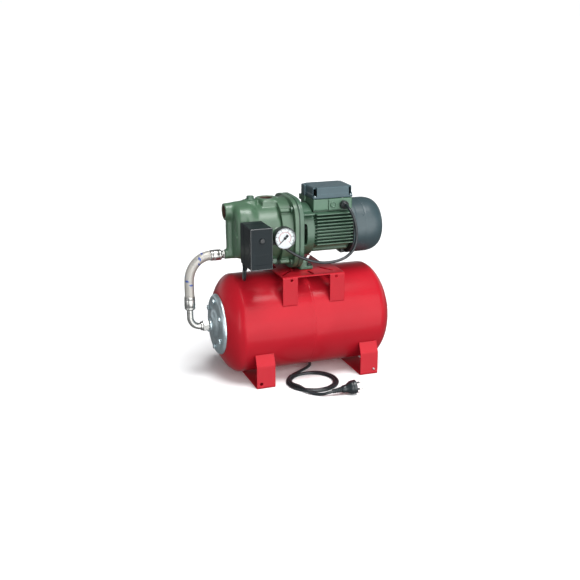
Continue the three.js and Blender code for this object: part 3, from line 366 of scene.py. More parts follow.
def turned(profile, axis, centre, sides=96, wobble=None):
    """A solid of revolution. centre is the other two coordinates of its axis, in x, y, z order."""
    main, u, v = AXES[axis]
    if axis == "y":
        centre = centre[::-1]
    count = len(profile)
    points, faces = [], []
    closed = np.allclose(profile[0], profile[-1])
    if closed:
        count -= 1
    for r, along in profile[:count]:
        for j in range(sides):
            angle = 2 * pi * j / sides
            radius = r + (wobble(angle, along) if wobble else 0)
            point = [0.0, 0.0, 0.0]
            point[main] = along
            point[u] = centre[0] + radius * cos(angle)
            point[v] = centre[1] + radius * sin(angle)
            points.append(point)
    for i in range(count if closed else count - 1):
        faces += ring_faces(i, (i + 1) % count, sides)
    return merge_poles(points, faces)


def ring_faces(i, n, sides):
    """Quads between ring i and ring n of a shape with so many sides."""
    return [(i * sides + j, i * sides + (j + 1) % sides, n * sides + (j + 1) % sides, n * sides + j)
            for j in range(sides)]


def merge_poles(points, faces):
    """Joins points that coincide and drops faces without area."""
    seen, index = {}, []
    kept = []
    for p in points:
        key = tuple(np.round(p, 4))
        if key not in seen:
            seen[key] = len(kept)
            kept.append(p)
        index.append(seen[key])
    result = []
    for face in faces:
        ids = []
        for i in face:
            if index[i] not in ids:
                ids.append(index[i])
        if len(ids) > 2:
            result.append(ids)
    return kept, outward(kept, result)


def outward(points, faces):
    """Turns a closed shape's faces to point out of it."""
    points = np.asarray(points)
    volume = 0.0
    for face in faces:
        a = points[face[0]]
        for i in range(1, len(face) - 1):
            volume += np.dot(a, np.cross(points[face[i]], points[face[i + 1]]))
    return faces if volume > 0 else [face[::-1] for face in faces]


def tube(route, radius, sides=24):
    """A round tube along a route, with flat ends. radius is a number or one per point."""
    route = np.asarray(route, float)
    radii = np.broadcast_to(radius, len(route))
    forward = np.gradient(route, axis=0)
    forward /= np.linalg.norm(forward, axis=1)[:, None]
    side = np.cross(forward[0], (0.3, 0.2, 1.0))
    points = []
    for p, t, r in zip(route, forward, radii):
        side = side - t * np.dot(side, t)
        side /= np.linalg.norm(side)
        up = np.cross(t, side)
        for j in range(sides):
            a = 2 * pi * j / sides
            points.append(p + r * (side * cos(a) + up * sin(a)))
    faces = [tuple(reversed(range(sides)))]
    for i in range(len(route) - 1):
        faces += ring_faces(i, i + 1, sides)
    faces.append(tuple(range((len(route) - 1) * sides, len(route) * sides)))
    return points, outward(points, faces)


def smooth_route(points, step=4.0):
    """A smooth curve through given points, sampled evenly."""
    points = np.asarray(points, float)
    padded = np.vstack([2 * points[0] - points[1], points, 2 * points[-1] - points[-2]])
    curve = []

    def between(t, start, end, first, second):
        return (end - t) / (end - start) * first + (t - start) / (end - start) * second

    for p0, p1, p2, p3 in zip(padded, padded[1:], padded[2:], padded[3:]):
        gaps = [max(np.linalg.norm(b - a), 1e-6) ** 0.5 for a, b in ((p0, p1), (p1, p2), (p2, p3))]
        t0, t1, t2, t3 = np.cumsum([0] + gaps)
        for t in np.linspace(t1, t2, 24, endpoint=False):
            a1, a2, a3 = between(t, t0, t1, p0, p1), between(t, t1, t2, p1, p2), between(t, t2, t3, p2, p3)
            b1, b2 = between(t, t0, t2, a1, a2), between(t, t1, t3, a2, a3)
            curve.append(between(t, t1, t2, b1, b2))
    curve.append(points[-1])
    curve = np.array(curve)
    for _ in range(6):
        curve[1:-1] = 0.25 * curve[:-2] + 0.5 * curve[1:-1] + 0.25 * curve[2:]
    distance = distances(curve)
    even = np.linspace(0, distance[-1], int(distance[-1] / step) + 1)
    return np.stack([np.interp(even, distance, curve[:, i]) for i in range(3)], axis=1)


def distances(route):
    """How far along a route each of its points is."""
    return np.concatenate([[0], np.cumsum(np.linalg.norm(np.diff(route, axis=0), axis=1))])


# ---- cords -------------------------------------------------------------------------------------------

MOTOR_LEAD_ROUTE = [
    (109, -66, 472), (109, -73, 472), (109.5, -84.6, 470), (111, -95, 464), (114, -102.5, 455),
    (117.6, -106.6, 444), (121, -108.6, 430), (124, -110, 412), (125, -111, 393), (121.6, -112.6, 373),
    (111.5, -114.4, 355), (95, -116, 342), (74, -117, 334), (50, -117.4, 330.8), (26, -117, 331),
    (2, -116, 335.6), (-22, -113, 344), (-44, -110, 354.6), (-62, -107, 365.6), (-79, -104.8, 377.6),
    (-94, -104, 387), (-106, -104, 391.8), (-115, -104, 393), (-124, -104, 393), (-132, -104, 393),
]
MAINS_LEAD_ROUTE = [
    (-187, -98, 342), (-187, -98, 333), (-187, -98, 325.5), (-187, -98, 324.2), (-186.7, -96.3, 313.8),
    (-185.9, -91.5, 304.3), (-184.5, -84.1, 296.9), (-182.5, -74.6, 292.1), (-180, -64.2, 290.4),
    (-177, -52, 290.6), (-171, -32, 292.2), (-163, -9, 293.8),
    (-155.5, 12, 293.2), (-146, 45, 287), (-137, 80, 270), (-126, 112, 243),
    (-113, 135, 208), (-101, 146, 168), (-90, 150, 125), (-80, 149, 82), (-68, 143, 44), (-50, 127, 18),
    (-28, 101, 6.5), (-6, 72, 4.3), (14, 44, 4.3), (27, 20, 4.3), (31, -4, 4.3), (24, -24, 4.3),
    (10, -40, 4.3), (-8, -54, 4.3), (-28, -68, 4.3), (-45, -79, 4.3),
]
TAIL_ROUTE = [
    (-53, -208, 8), (-42, -222, 5), (-29, -233.5, 4.6), (-15, -242, 7.2), (-4, -245.3, 10.4),
    (4.6, -246, 12.2),
]
COIL_OUTER, COIL_INNER, COIL_SHIFT = 68.7, 60.2, 4.3
COIL_LOW, COIL_TOP = 4.3, 11.6
COIL_START, COIL_INWARD, COIL_OVER, COIL_END = 138, 400, 815, 232 + 720


def coil_turns():
    """Two turns side by side, then a part of a third that rides in the groove between them."""
    points = []
    for angle in np.arange(COIL_START, COIL_END, 20):
        inward = np.clip((angle - COIL_INWARD) / 70, 0, 1)
        over = np.clip((angle - COIL_OVER) / 60, 0, 1)
        ease_in, ease_over = inward * inward * (3 - 2 * inward), over * over * (3 - 2 * over)
        radius = COIL_OUTER + (COIL_INNER - COIL_OUTER) * ease_in + COIL_SHIFT * ease_over
        height = COIL_LOW + (COIL_TOP - COIL_LOW) * ease_over
        a = radians(angle)
        points.append((COIL_CENTRE[0] + radius * cos(a), COIL_CENTRE[1] + radius * sin(a), height))
    return points


def lead(name, route, nodes, **facts):
    path = smooth_route(route)
    total = distances(path)[-1]
    obj = piece(name, tube(path, LEAD_R, 20), "rubber", replaces=nodes)
    place(route[0])
    place(path)
    return total


def plug():
    """A moulded two-pin plug lying on the floor, with a ribbed strain relief."""
    length, pins, pitch, tilt, heading = 66, 19, 19, radians(6.5), radians(-4)
    relief = [(0, 0), (5.2, 0)]
    for i in range(5):
        x = 3 + 4.6 * i
        relief += [(5.3 + 0.35 * i, x - 1.6), (5.9 + 0.4 * i, x), (5.9 + 0.4 * i, x + 1.4),
                   (4.9 + 0.35 * i, x + 1.8)]
    body = relief + [(8.6, 26), (10.2, 31), (10.6, 37), (13, 43), (17.2, 49.5), (18.2, 53), (18.4, 55.4),
                     (17.7, 56), (17.7, 57), (18.4, 57.6), (18.4, length - 1), (17.6, length), (0, length)]
    pieces = [("mains_plug_body", turned(soften(body, 0.7, 2), "x", (0, 0), 48), "rubber")]
    for name, side in (("mains_plug_pin_1", -1), ("mains_plug_pin_2", 1)):
        sleeve = [(0, length - 1), (2.5, length - 1), (2.5, length + 9.5), (2.1, length + 9.8),
                  (0, length + 9.8)]
        pin = [(0, length + 9), (2.15, length + 9), (2.15, length + pins - 1.6), (1.2, length + pins),
               (0, length + pins)]
        centre = (0, side * pitch / 2)
        pieces.append((name, turned(soften(pin, 0.4, 2), "x", centre, 20), "nickel"))
        pieces.append((name + "_sleeve", turned(soften(sleeve, 0.3, 2), "x", centre, 20), "rubber"))
    found = []
    for name, (points, faces), material in pieces:
        p = np.array(points)
        x, y, z = p[:, 0], p[:, 1], p[:, 2]
        x, z = x * cos(tilt) - z * sin(tilt), x * sin(tilt) + z * cos(tilt)
        x, y = x * cos(heading) - y * sin(heading), x * sin(heading) + y * cos(heading)
        moved = np.stack([x + 5, y - 246, z + 12.6], axis=1)
        found.append(piece(name, (moved, faces), material))
    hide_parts("mains_plug")
    return found


plug_pieces = plug()
mains_length = lead(
    "mains_lead_cord", MAINS_LEAD_ROUTE + coil_turns() + TAIL_ROUTE,
    ("mains_lead", "mains_lead_coil", "mains_lead_tail"), far_end="plug", lay="coiled",
    with_pieces=plug_pieces)
motor_length = lead("motor_lead_cord", MOTOR_LEAD_ROUTE, "motor_lead", far_end="object", lay="hanging")
print("cord lengths", round(mains_length), round(motor_length))

# ---- floor and light ---------------------------------------------------------------------------------


def floor():
    size = 200
    mesh = bpy.data.meshes.new("floor")
    mesh.from_pydata([(-size, -size, 0), (size, -size, 0), (size, size, 0), (-size, size, 0)], [],
                     [(0, 1, 2, 3)])
    n = Nodes("floor")
    n.settings({"Roughness": 0.9, "Specular IOR Level": 0.2})
    tint = n.mix(n.spread(n.noise(400), 0, 1), (0.89, 0.895, 0.9), (0.91, 0.915, 0.92))
    n.link(tint, n.shader.inputs["Base Color"])
    mesh.materials.append(n.material)
    obj = add_object("floor", mesh)
    obj.visible_diffuse = False
    obj.visible_glossy = False


def sun(name, toward, level, spread):
    """A distant soft light. level is the brightness it gives a white surface facing it."""
    light = bpy.data.lights.new(name, "SUN")
    light.energy = level * pi
    light.angle = radians(spread)
    obj = add_object(name, light)
    obj.rotation_euler = Vector(toward).to_track_quat("Z", "Y").to_euler()


def strip(name, where, size, level, target=(-0.1, 0, 0.3)):
    """A narrow soft light aimed at the set, of a given brightness."""
    light = bpy.data.lights.new(name, "AREA")
    light.shape = "RECTANGLE"
    light.size, light.size_y = size
    light.energy = level * pi * size[0] * size[1]
    obj = add_object(name, light)
    obj.location = where
    obj.rotation_euler = (Vector(target) - Vector(where)).to_track_quat("-Z", "Y").to_euler()
    obj.visible_camera = False


def studio(horizon=1.05, sky=0.2, front=0.5, back=0.2):
    """A white horizon under a darker ceiling, a soft light above, one in front and a narrow edge light."""
    world = bpy.data.worlds.new("studio")
    bpy.context.scene.world = world
    world.use_nodes = True
    tree = world.node_tree

    def ramp(value, start, stop, low, high):
        node = tree.nodes.new("ShaderNodeMapRange")
        for key, number in zip(("From Min", "From Max"), (start, stop)):
            node.inputs[key].default_value = number
        for key, number in zip(("Value", "To Min", "To Max"), (value, low, high)):
            if isinstance(number, bpy.types.NodeSocket):
                tree.links.new(number, node.inputs[key])
            else:
                node.inputs[key].default_value = number
        return node.outputs["Result"]

    split = tree.nodes.new("ShaderNodeSeparateXYZ")
    tree.links.new(tree.nodes.new("ShaderNodeTexCoord").outputs["Generated"], split.inputs[0])
    y, z = split.outputs["Y"], split.outputs["Z"]
    above = ramp(z, 0.06, 0.2, horizon, sky)
    level = ramp(z, -0.04, -0.02, ramp(y, -0.3, 0.3, front, back), above)
    tree.links.new(level, tree.nodes["Background"].inputs["Strength"])
    tree.nodes["Background"].inputs["Color"].default_value = (0.96, 0.98, 1, 1)
    sun("top_light", (0.1, -0.3, 1), level=1.0, spread=30)
    sun("front_light", (0.22, -1, 0.16), level=1.25, spread=80)
    strip("edge_light", (-1.15, -0.42, 0.3), size=(0.1, 0.7), level=8)
    bpy.context.scene.view_settings.view_transform = "Standard"


floor()
studio()

# ---- tank and its stand ------------------------------------------------------------------------------


def dome(radius, depth, stop, count=28):
    share = (1 - (stop / radius) ** TANK_POWER) ** (1 / TANK_POWER)
    last = math.asin(min(1, share ** (TANK_POWER / 2)))
    angles = np.linspace(0, last, count)
    return [(radius * cos(a) ** (2 / TANK_POWER),
             TANK_SHOULDER + depth * sin(a) ** (2 / TANK_POWER)) for a in angles]


def tank():
    seam = [(TANK_RADIUS, -3.4), (TANK_RADIUS - 0.3, -1.8), (TANK_RADIUS + 0.15, -0.8),
            (TANK_RADIUS + 0.15, 0.8), (TANK_RADIUS - 0.3, 1.8), (TANK_RADIUS, 3.4)]
    right = dome(TANK_RADIUS, TANK_DEPTH, 6)
    left = [(r, -x) for r, x in dome(TANK_RADIUS, TANK_DEPTH, FLANGE_RIM + 3)][::-1]
    wall = 1.6
    inner_right = [(max(r - wall, 6), x - wall) for r, x in dome(TANK_RADIUS, TANK_DEPTH, 10, 12)][::-1]
    inner_left = [(r - wall, -x + wall) for r, x in dome(TANK_RADIUS, TANK_DEPTH, FLANGE_RIM + 3, 8)]
    profile = [(52, MOUTH_X), (FLANGE_RIM + 2, MOUTH_X)] + left[1:] + [(TANK_RADIUS, -60)] + seam + \
        [(TANK_RADIUS, 60)] + right + [(6, inner_right[0][1])] + inner_right + inner_left[:-1] + \
        [(FLANGE_RIM, MOUTH_X + wall), (52, MOUTH_X + wall), (52, MOUTH_X)]
    return turned(profile, "x", (0, TANK_Z), 192)


piece("tank", tank(), "red_paint", replaces="tank_shell", crease=40)


class Space:
    """A grid of points around a solid. A shape on it is a field of distances to its surface."""

    def __init__(self, low, high, step):
        self.step = step * 1
        self.low = np.array(low, float) - 3 * self.step
        spans = [np.arange(a, b + 3 * self.step, self.step, dtype=np.float32)
                 for a, b in zip(self.low, high)]
        self.x, self.y, self.z = np.meshgrid(*spans, indexing="ij", sparse=True)

    def box(self, x, y, z, edge=1.0):
        gaps = [slab(self.x, *x), slab(self.y, *y), slab(self.z, *z)]
        return rounded_corner([gap + edge for gap in gaps]) - edge

    def from_line(self, start, end):
        """Places measured from start, how far they are along the line, its direction and its length."""
        start, end = np.array(start, float), np.array(end, float)
        length = np.linalg.norm(end - start)
        d = (end - start) / length
        x, y, z = self.x - start[0], self.y - start[1], self.z - start[2]
        return (x, y, z), x * d[0] + y * d[1] + z * d[2], d, length

    def rod(self, start, end, radius, edge=0.8, end_radius=None):
        """A round bar or cone between two points."""
        (x, y, z), along, _, length = self.from_line(start, end)
        from_axis = np.sqrt(np.maximum(x * x + y * y + z * z - along * along, 0))
        if end_radius is not None:
            radius = radius + (end_radius - radius) * np.clip(along / length, 0, 1)
        return rounded_corner([from_axis - radius + edge, slab(along, 0, length) + edge]) - edge

    def rod_y(self, x, z, start, end, *shape):
        return self.rod((x, start, z), (x, end, z), *shape)

    def hexagon(self, start, end, across, edge=0.6, turn=0.0):
        """A six-sided bar along x, y or z with chamfered ends."""
        (x, y, z), along, d, length = self.from_line(start, end)
        u, v = ((y, z), (z, x), (x, y))[int(np.argmax(np.abs(d)))]
        flats = [np.abs(u * cos(a) + v * sin(a)) for a in turn + np.arange(3) * pi / 3]
        prism = np.maximum(np.maximum(flats[0], flats[1]), flats[2]) - across / 2
        reach = np.sqrt(u * u + v * v)
        middle = slab(along, 0, length)
        cone = (reach - across / 2) * 0.5 + middle * 0.87 + 0.1
        return np.maximum(rounded_corner([prism + edge, middle + edge]) - edge, cone)

    def plate_x(self, half_y, half_z, power, x, z, edge=1.5):
        """A plate across x whose outline is a rounded square."""
        u, v = np.abs(self.y) / half_y, np.abs(self.z - z) / half_z
        outline = ((u ** power + v ** power) ** (1 / power) - 1) * min(half_y, half_z)
        return rounded_corner([outline + edge, slab(self.x, *x) + edge]) - edge

    def mesh(self, field):
        shape = np.broadcast_shapes(self.x.shape, self.y.shape, self.z.shape)
        field = np.array(np.broadcast_to(field, shape), dtype=np.float32, order="C")
        grid = openvdb.FloatGrid(float(field.max()) + 1)
        grid.copyFromArray(field)
        points, quads = grid.convertToQuads(0.0)
        return points * self.step + self.low, np.asarray(quads)


def slab(value, low, high):
    """The distance outside two parallel planes."""
    return np.abs(value - (low + high) / 2) - (high - low) / 2


def segment_gap(u, v, start, end):
    """The distance to a line between two points in a plane."""
    du, dv = end[0] - start[0], end[1] - start[1]
    t = np.clip(((u - start[0]) * du + (v - start[1]) * dv) / (du * du + dv * dv), 0, 1)
    return np.sqrt((u - start[0] - t * du) ** 2 + (v - start[1] - t * dv) ** 2)


def rounded_corner(gaps):
    """The distance past a corner where several distances meet, round outside."""
    inside = gaps[0]
    outside = np.maximum(gaps[0], 0) ** 2
    for gap in gaps[1:]:
        inside = np.maximum(inside, gap)
        outside = outside + np.maximum(gap, 0) ** 2
    return np.sqrt(outside) + np.minimum(inside, 0)


def join(*fields, fillet=4.0):
    """Fields run together with a fillet where they meet."""
    result = fields[0]
    for other in fields[1:]:
        h = np.clip(0.5 + 0.5 * (other - result) / fillet, 0, 1)
        result = other + (result - other) * h - fillet * h * (1 - h)
    return result


def cut(field, *tools, edge=0.8):
    """A field less its tools, with slightly broken edges."""
    for tool in tools:
        h = np.clip(0.5 - 0.5 * (tool + field) / edge, 0, 1)
        field = -tool * h + field * (1 - h) + edge * h * (1 - h)
    return field


def bent_sheet(space, line, thickness):
    """A sheet whose section in the y-z plane follows a line of points."""
    gaps = [segment_gap(space.y, space.z, start, end) for start, end in zip(line, line[1:])]
    return functools.reduce(np.minimum, gaps) - thickness / 2


def foot(name, outer_side):
    low, high = own(name)
    width, thickness, reach, bend = high[0] - low[0], 3, high[1], 64
    top_y, hole_z = 124, 13.5
    top_z = TANK_Z - math.sqrt(TANK_RADIUS ** 2 - top_y ** 2) + 6
    space = Space(low, high, 0.95)
    y, mid = reach - thickness / 2, thickness / 2
    side = [(y - 2.5, mid), (y - 0.7, mid + 0.7), (y, mid + 2.5), (y, bend - 4), (y - 0.4, bend),
            (y - 1.6, bend + 3.2), (top_y - mid, top_z)]
    line = [(-a, b) for a, b in side][::-1] + side
    strap = bent_sheet(space, line, thickness)
    centre = (low[0] + high[0]) / 2
    strap = rounded_corner([strap + 0.5, slab(space.x, low[0], high[0]) + 0.5]) - 0.5
    hole_x = centre + outer_side * (width / 2 - 13)
    tools = [space.rod((hole_x, s * (reach + 8), hole_z), (hole_x, s * (reach - 10), hole_z), 4.3)
             for s in (-1, 1)]
    tank_space = space.rod((low[0] - 20, 0, TANK_Z), (high[0] + 20, 0, TANK_Z), TANK_RADIUS + 0.9)
    return space.mesh(cut(strap, *tools, tank_space))


piece("left_foot_strap", foot("left_foot", -1), "red_paint", replaces="left_foot")
piece("right_foot_strap", foot("right_foot", 1), "red_paint", replaces="right_foot")


def saddle():
    low, high = own("saddle_bracket")
    half, back_half, leg = 89, 67, 43
    top, reach, thickness = high[2], high[1], 3
    space = Space(low, high, 1.0)
    y, z = reach - thickness / 2, top - thickness / 2
    line = [(-y, TANK_Z), (-y, z - 3), (-y + 0.9, z - 0.9), (-y + 3, z)]
    line = line + [(-a, b) for a, b in line][::-1]
    sheet = bent_sheet(space, line, thickness)
    outline = np.abs(space.x) - np.clip(half + (back_half - half) * (space.y + 30) / 25, back_half, half)
    sheet = rounded_corner([sheet + 0.5, outline + 0.5]) - 0.5
    under = (TANK_Z - 10, top - thickness)
    tools = [space.box((-half + leg, half - leg), (-reach - 9, 0), under, 0.2),
             space.box((-back_half + leg, back_half - leg), (0, reach + 9), under, 0.2),
             space.rod((low[0] - 20, 0, TANK_Z), (high[0] + 20, 0, TANK_Z), TANK_RADIUS + 0.9)]
    for x in (-64, 64):
        tools.append(space.rod_y(x, top - 9.5, -reach - 9, -reach + 9, 3.6))
    for s in (-1, 1):
        for start, end in (((-80, 92), (-40, 50)), ((1, 104), (-1, 72)), ((40, 46), (63, 88))):
            tools.append(slot_tool(space, (start[0], s * start[1]), (end[0], s * end[1]), top))
        tools.append(space.rod((9, s * 53, top - 9), (9, s * 53, top + 9), 4.4))
    return space.mesh(cut(sheet, *tools, edge=0.5))


def slot_tool(space, start, end, top, width=7):
    """A slot with round ends through the saddle's plate."""
    gap = segment_gap(space.x, space.y, start, end) - width / 2
    return np.maximum(gap, np.abs(space.z - top) - 9)


piece("pump_saddle", saddle(), "red_paint", replaces="saddle_bracket")


# ---- bolts -------------------------------------------------------------------------------------------


def hex_bolt(head_from, head_to, across, shank_to, shank_radius=4, washer=0.0, turn=0.0):
    """A hexagon-headed bolt along one axis. The washer, if any, is under the head."""
    a, b, c = (np.array(p, float) for p in (head_from, head_to, shank_to))
    reach = across * 0.62 + washer
    points = np.vstack([a, b, c])
    space = Space(points.min(0) - reach, points.max(0) + reach, 0.45)
    d = (b - a) / np.linalg.norm(b - a)
    field = space.hexagon(a, b, across, 0.35, turn)
    if washer:
        field = np.minimum(field, space.rod(b - d * 1.4, b, across / 2 + washer, 0.3))
    return space.mesh(np.minimum(field, space.rod(b - d, c, shank_radius, 0.3)))


for i in range(6):
    low, high = own(f"flange_bolt_{i + 1}")
    y, z = (low[1] + high[1]) / 2, (low[2] + high[2]) / 2
    bolt = hex_bolt((low[0], y, z), (FLANGE_FACE - 0.3, y, z), 13, (high[0], y, z), turn=0.4 * i)
    piece(f"flange_bolt_{i + 1}_zinc", bolt, "zinc", replaces=f"flange_bolt_{i + 1}")


def tank_flange():
    low = own("tank_flange")[0]
    back = MOUTH_X - 0.3
    face = FLANGE_FACE
    outer = [(10, low[0]), (15.6, low[0]), (17, low[0] + 1.6), (17, face - 12), (21, face - 11),
             (26, face - 10.4), (34, face - 6.5), (40, face - 2.2), (CONE_R, face), (FLANGE_FLAT, face),
             (FLANGE_FLAT + 4, face + 0.4), (FLANGE_RIM - 3, face + 3.2), (FLANGE_RIM, face + 7),
             (FLANGE_RIM, back)]
    inner = [(56, back), (54, face + 4), (CONE_R - 8, face + 2), (18, face - 6), (10, face - 6),
             (10, low[0])]
    return turned(soften(outer, 1.6, 3) + inner, "x", (0, TANK_Z), 128)


piece("tank_flange_plate", tank_flange(), "zinc", replaces="tank_flange", crease=30)


def air_valve():
    low, high = own("air_valve")
    x = low[0]
    stem = [(0, x), (5.6, x), (5.6, x + 8.3), (9, x + 8.3), (9, x + 12), (4, x + 12)]
    for i in range(5):
        stem += [(4, x + 13 + 2 * i), (3.5, x + 13.6 + 2 * i)]
    stem += [(4, high[0] - 1), (3.4, high[0]), (0, high[0])]
    return turned(stem, "x", (0, TANK_Z), 40)


def valve_cap():
    low, high = own("air_valve_cap")
    x, end = low[0], high[0]

    def ribs(angle, along):
        return 0.3 * cos(20 * angle) if x + 1 < along < end - 3 else 0

    outer = [(4.4, x), (8.4, x), (8.7, x + 1.4), (8.7, x + 6), (8.7, end - 3.4), (7, end - 0.4), (0, end)]
    return turned(outer + [(0, end - 2.4), (4.4, end - 2.4), (4.4, x)], "x", (0, TANK_Z), 120, ribs)


piece("air_valve_stem", air_valve(), "brass", replaces="air_valve", crease=30)
piece("air_valve_dust_cap", valve_cap(), "black_plastic", body="valve_cap", replaces="air_valve_cap",
      crease=40)

# ---- pump --------------------------------------------------------------------------------------------


def on_axis(x):
    return (x, 0, SHAFT_Z)


def joint_bolts(x, share=1.0):
    return [(x, y * share, SHAFT_Z + z * share) for y in (-BOLT_Y, BOLT_Y) for z in (-BOLT_Z, BOLT_Z)]


def casing():
    space = Space(*own("pump_casing"), 1.2)
    rod, box = space.rod, space.box
    nose = space.plate_x(65, 74, 3.2, (FRONT_X, -140), 411, 16)
    barrel = rod(on_axis(-166), on_axis(STEP_X), 81, 6)
    body = join(nose, barrel, fillet=12)
    body = join(body, space.plate_x(*NECK_OUTLINE, (STEP_X, FLANGE_X + 2), SHAFT_Z, 1.2), fillet=1)
    ports = [
        rod((SUCTION_X, 0, SUCTION_Z), (-132, 0, SUCTION_Z + 2), 22.5, 1.5, 27),
        rod((DELIVERY_X, 0, 450), (DELIVERY_X, 0, DELIVERY_TOP), 28.5, 1.2),
        rod((FILLER_X, 0, 450), (FILLER_X, 0, FILLER_TOP), 19, 1.2),
        box((DELIVERY_X - 20, DELIVERY_X + 20), (-31, 0), (462, DELIVERY_TOP - 5), 3),
        rod((HOSE_FACE, 0, HOSE_Z), (-180, 0, HOSE_Z), 13, 1.2),
        box((FRONT_X - 12, FRONT_X + 6), (-10, 10), (HOSE_Z, SUCTION_Z), 5),
        space.rod_y(GAUGE_X, GAUGE_Z, -60, -90, 13, 1.2),
        space.rod_y(*SWITCH_PORT, -50, -84, 15, 1.2),
        rod((DRAIN[0], DRAIN[1] + 32, DRAIN[2]), DRAIN, 9.5, 1),
    ]
    body = join(body, *ports, fillet=7)
    for start, end in zip(joint_bolts(STEP_X - 4, 0.97), joint_bolts(FLANGE_X - 9, 0.97)):
        body = join(body, rod(start, end, 6.3, 1.5), fillet=3)
    for start, end in (((46, 402), (14, 398)), ((48, 381), (15, 377)), ((34, 431), (20, 420)),
                       ((-36, 416), (-56, 404))):
        body = join(body, rod((FRONT_X, *start), (FRONT_X, *end), 1.7, 0.5), fillet=1.5)
    flange = space.plate_x(*JOINT_OUTLINE, (FLANGE_X, JOINT_X), SHAFT_Z, 1.2)
    body = join(body, flange, fillet=3)
    cavity = join(rod(on_axis(-190), on_axis(-150), 54, 6), rod(on_axis(-152), on_axis(JOINT_X + 8), 73, 4),
                  fillet=8)
    bores = [
        cavity,
        rod((SUCTION_X - 8, 0, SUCTION_Z), (-150, 0, SUCTION_Z), PORT_BORE + 0.7),
        rod((DELIVERY_X, 0, 430), (DELIVERY_X, 0, DELIVERY_TOP + 8), PORT_BORE + 0.7),
        rod((FILLER_X, 0, 440), (FILLER_X, 0, FILLER_TOP + 8), 10.6),
        rod((HOSE_FACE - 8, 0, HOSE_Z), (-165, 0, HOSE_Z), 8.2),
        space.rod_y(GAUGE_X, GAUGE_Z, -30, -100, 5.2),
        space.rod_y(*SWITCH_PORT, -30, -100, 6.6),
        rod((DRAIN[0], DRAIN[1] + 24, DRAIN[2]), (DRAIN[0], DRAIN[1] - 6, DRAIN[2]), 6.4),
    ]
    bores += [rod(a, b, 4.7, 0.2) for a, b in zip(joint_bolts(FLANGE_X - 8), joint_bolts(JOINT_X + 6))]
    return space.mesh(cut(body, *bores))


def threaded_liner(start, depth):
    """The rusty wall of a threaded port, as rings of a fine thread."""
    pitch, outer = 2.3, PORT_BORE + 0.6
    profile = [(outer, start), (PORT_BORE + 0.3, start + 0.1)]
    for i in range(int(depth / pitch)):
        t = start + 1.4 + i * pitch
        profile += [(PORT_BORE - 1.1, t), (PORT_BORE + 0.2, t + pitch / 2)]
    end = start + depth + 1
    return profile + [(PORT_BORE - 1.1, end), (outer, end), (outer, start)]


piece("pump_body_casting", casing(), "green_paint", replaces="pump_casing", crease=None)
piece("suction_thread", turned(threaded_liner(SUCTION_X + 0.8, 26), "x", (0, SUCTION_Z), 64), "iron_bore",
      crease=25)
flipped = [(r, -t) for r, t in threaded_liner(-DELIVERY_TOP + 0.8, 26)]
piece("delivery_thread", turned(flipped, "z", (DELIVERY_X, 0), 64), "iron_bore", crease=25)


def bracket():
    low, high = own("motor_bracket")
    front = JOINT_X + 1.6
    space = Space(low, high, 1.1)
    rod, box = space.rod, space.box
    body = space.plate_x(*JOINT_OUTLINE, (front, -19), SHAFT_Z, 1.2)
    lantern = rod(on_axis(-24), on_axis(20), 72.5, 1.5)
    parts = [lantern, box((-20, 0), (-21, 21), (310, 340), 3)]
    for side in (-1, 1):
        def ys(a, b):
            return (a, b) if side > 0 else (-b, -a)
        parts.append(box((-19.5, 1), ys(20, 62), (299.8, 326), 3))
        parts.append(box((-4, 18), ys(36, 62), (299.8, 309), 2))
        parts.append(box((-4, 10), ys(36, 44), (303, 322), 2.5))
    body = join(body, *parts, fillet=4)
    for side in (-1, 1):
        body = join(body, box((-20, 19.5), ((-72, -36), (36, 72))[side > 0], (SHAFT_Z + 51, SHAFT_Z + 56),
                              1.5), fillet=1.5)
    room = rod(on_axis(-18), on_axis(8), 62, 2)
    tools = [room, rod(on_axis(-60), on_axis(-10), 15.4), rod(on_axis(0), on_axis(30), 17.5)]
    tools += [rod(a, b, 4.7, 0.2) for a, b in zip(joint_bolts(-40), joint_bolts(-10))]
    for side in (-1, 1):
        tools.append(box((-17, -2), (side * 68 - 14, side * 68 + 14), (SHAFT_Z - 32, SHAFT_Z + 28), 5))
        tools.append(rod((9, side * 53, 290), (9, side * 53, 320), 4.6))
    tools.append(box((-70, 40), (-120, 120), (270, low[2]), 0.1))
    return space.mesh(cut(body, *tools))


piece("motor_bracket_casting", bracket(), "green_smooth", replaces="motor_bracket", crease=None)

for i, (x, y, z) in enumerate(joint_bolts(FLANGE_X)):
    bolt = hex_bolt((x - 6.5, y, z), (x - 0.3, y, z), 13, (-22, y, z), 4.2, turn=0.3)
    piece(f"casing_bolt_{i + 1}_zinc", bolt, "green_smooth", replaces=f"casing_bolt_{i + 1}", slot="zinc")
# The foot bolts are coloured with painted shade, a near-black green, for the shadow under the bracket.
for name, y in (("foot_bolt_front", -53), ("foot_bolt_back", 53)):
    bolt = hex_bolt((9, y, 314.5), (9, y, 309.3), 13, (9, y, 291.5), 4, 1.6, 0.3)
    piece(name + "_zinc", bolt, "green_dark", replaces=name, slot="zinc")


def filler():
    low, high = own("filler_plug")
    top, bottom = high[2], low[2]
    space = Space(low, high, 0.6)

    def at(z):
        return (FILLER_X, 0, z)

    head = space.hexagon(at(FILLER_TOP + 2), at(top), 18, 0.6, 0.35)
    flange = space.rod(at(FILLER_TOP + 0.3), at(FILLER_TOP + 3.2), 14, 0.8)
    return space.mesh(join(head, flange, space.rod(at(bottom), at(FILLER_TOP + 1), 9.8, 0.6), fillet=1))


def drain():
    low, high = own("drain_plug")
    x, face, z = DRAIN
    space = Space(low, high, 0.5)
    head = space.hexagon((x, low[1], z), (x, face - 1.6, z), 13, 0.5, 0.2)
    washer = space.rod((x, face - 2, z), (x, face - 0.3, z), 7.4, 0.3)
    return space.mesh(np.minimum(join(head, washer, fillet=0.6),
                                 space.rod((x, face - 1, z), (x, high[1], z), 5.8, 0.4)))


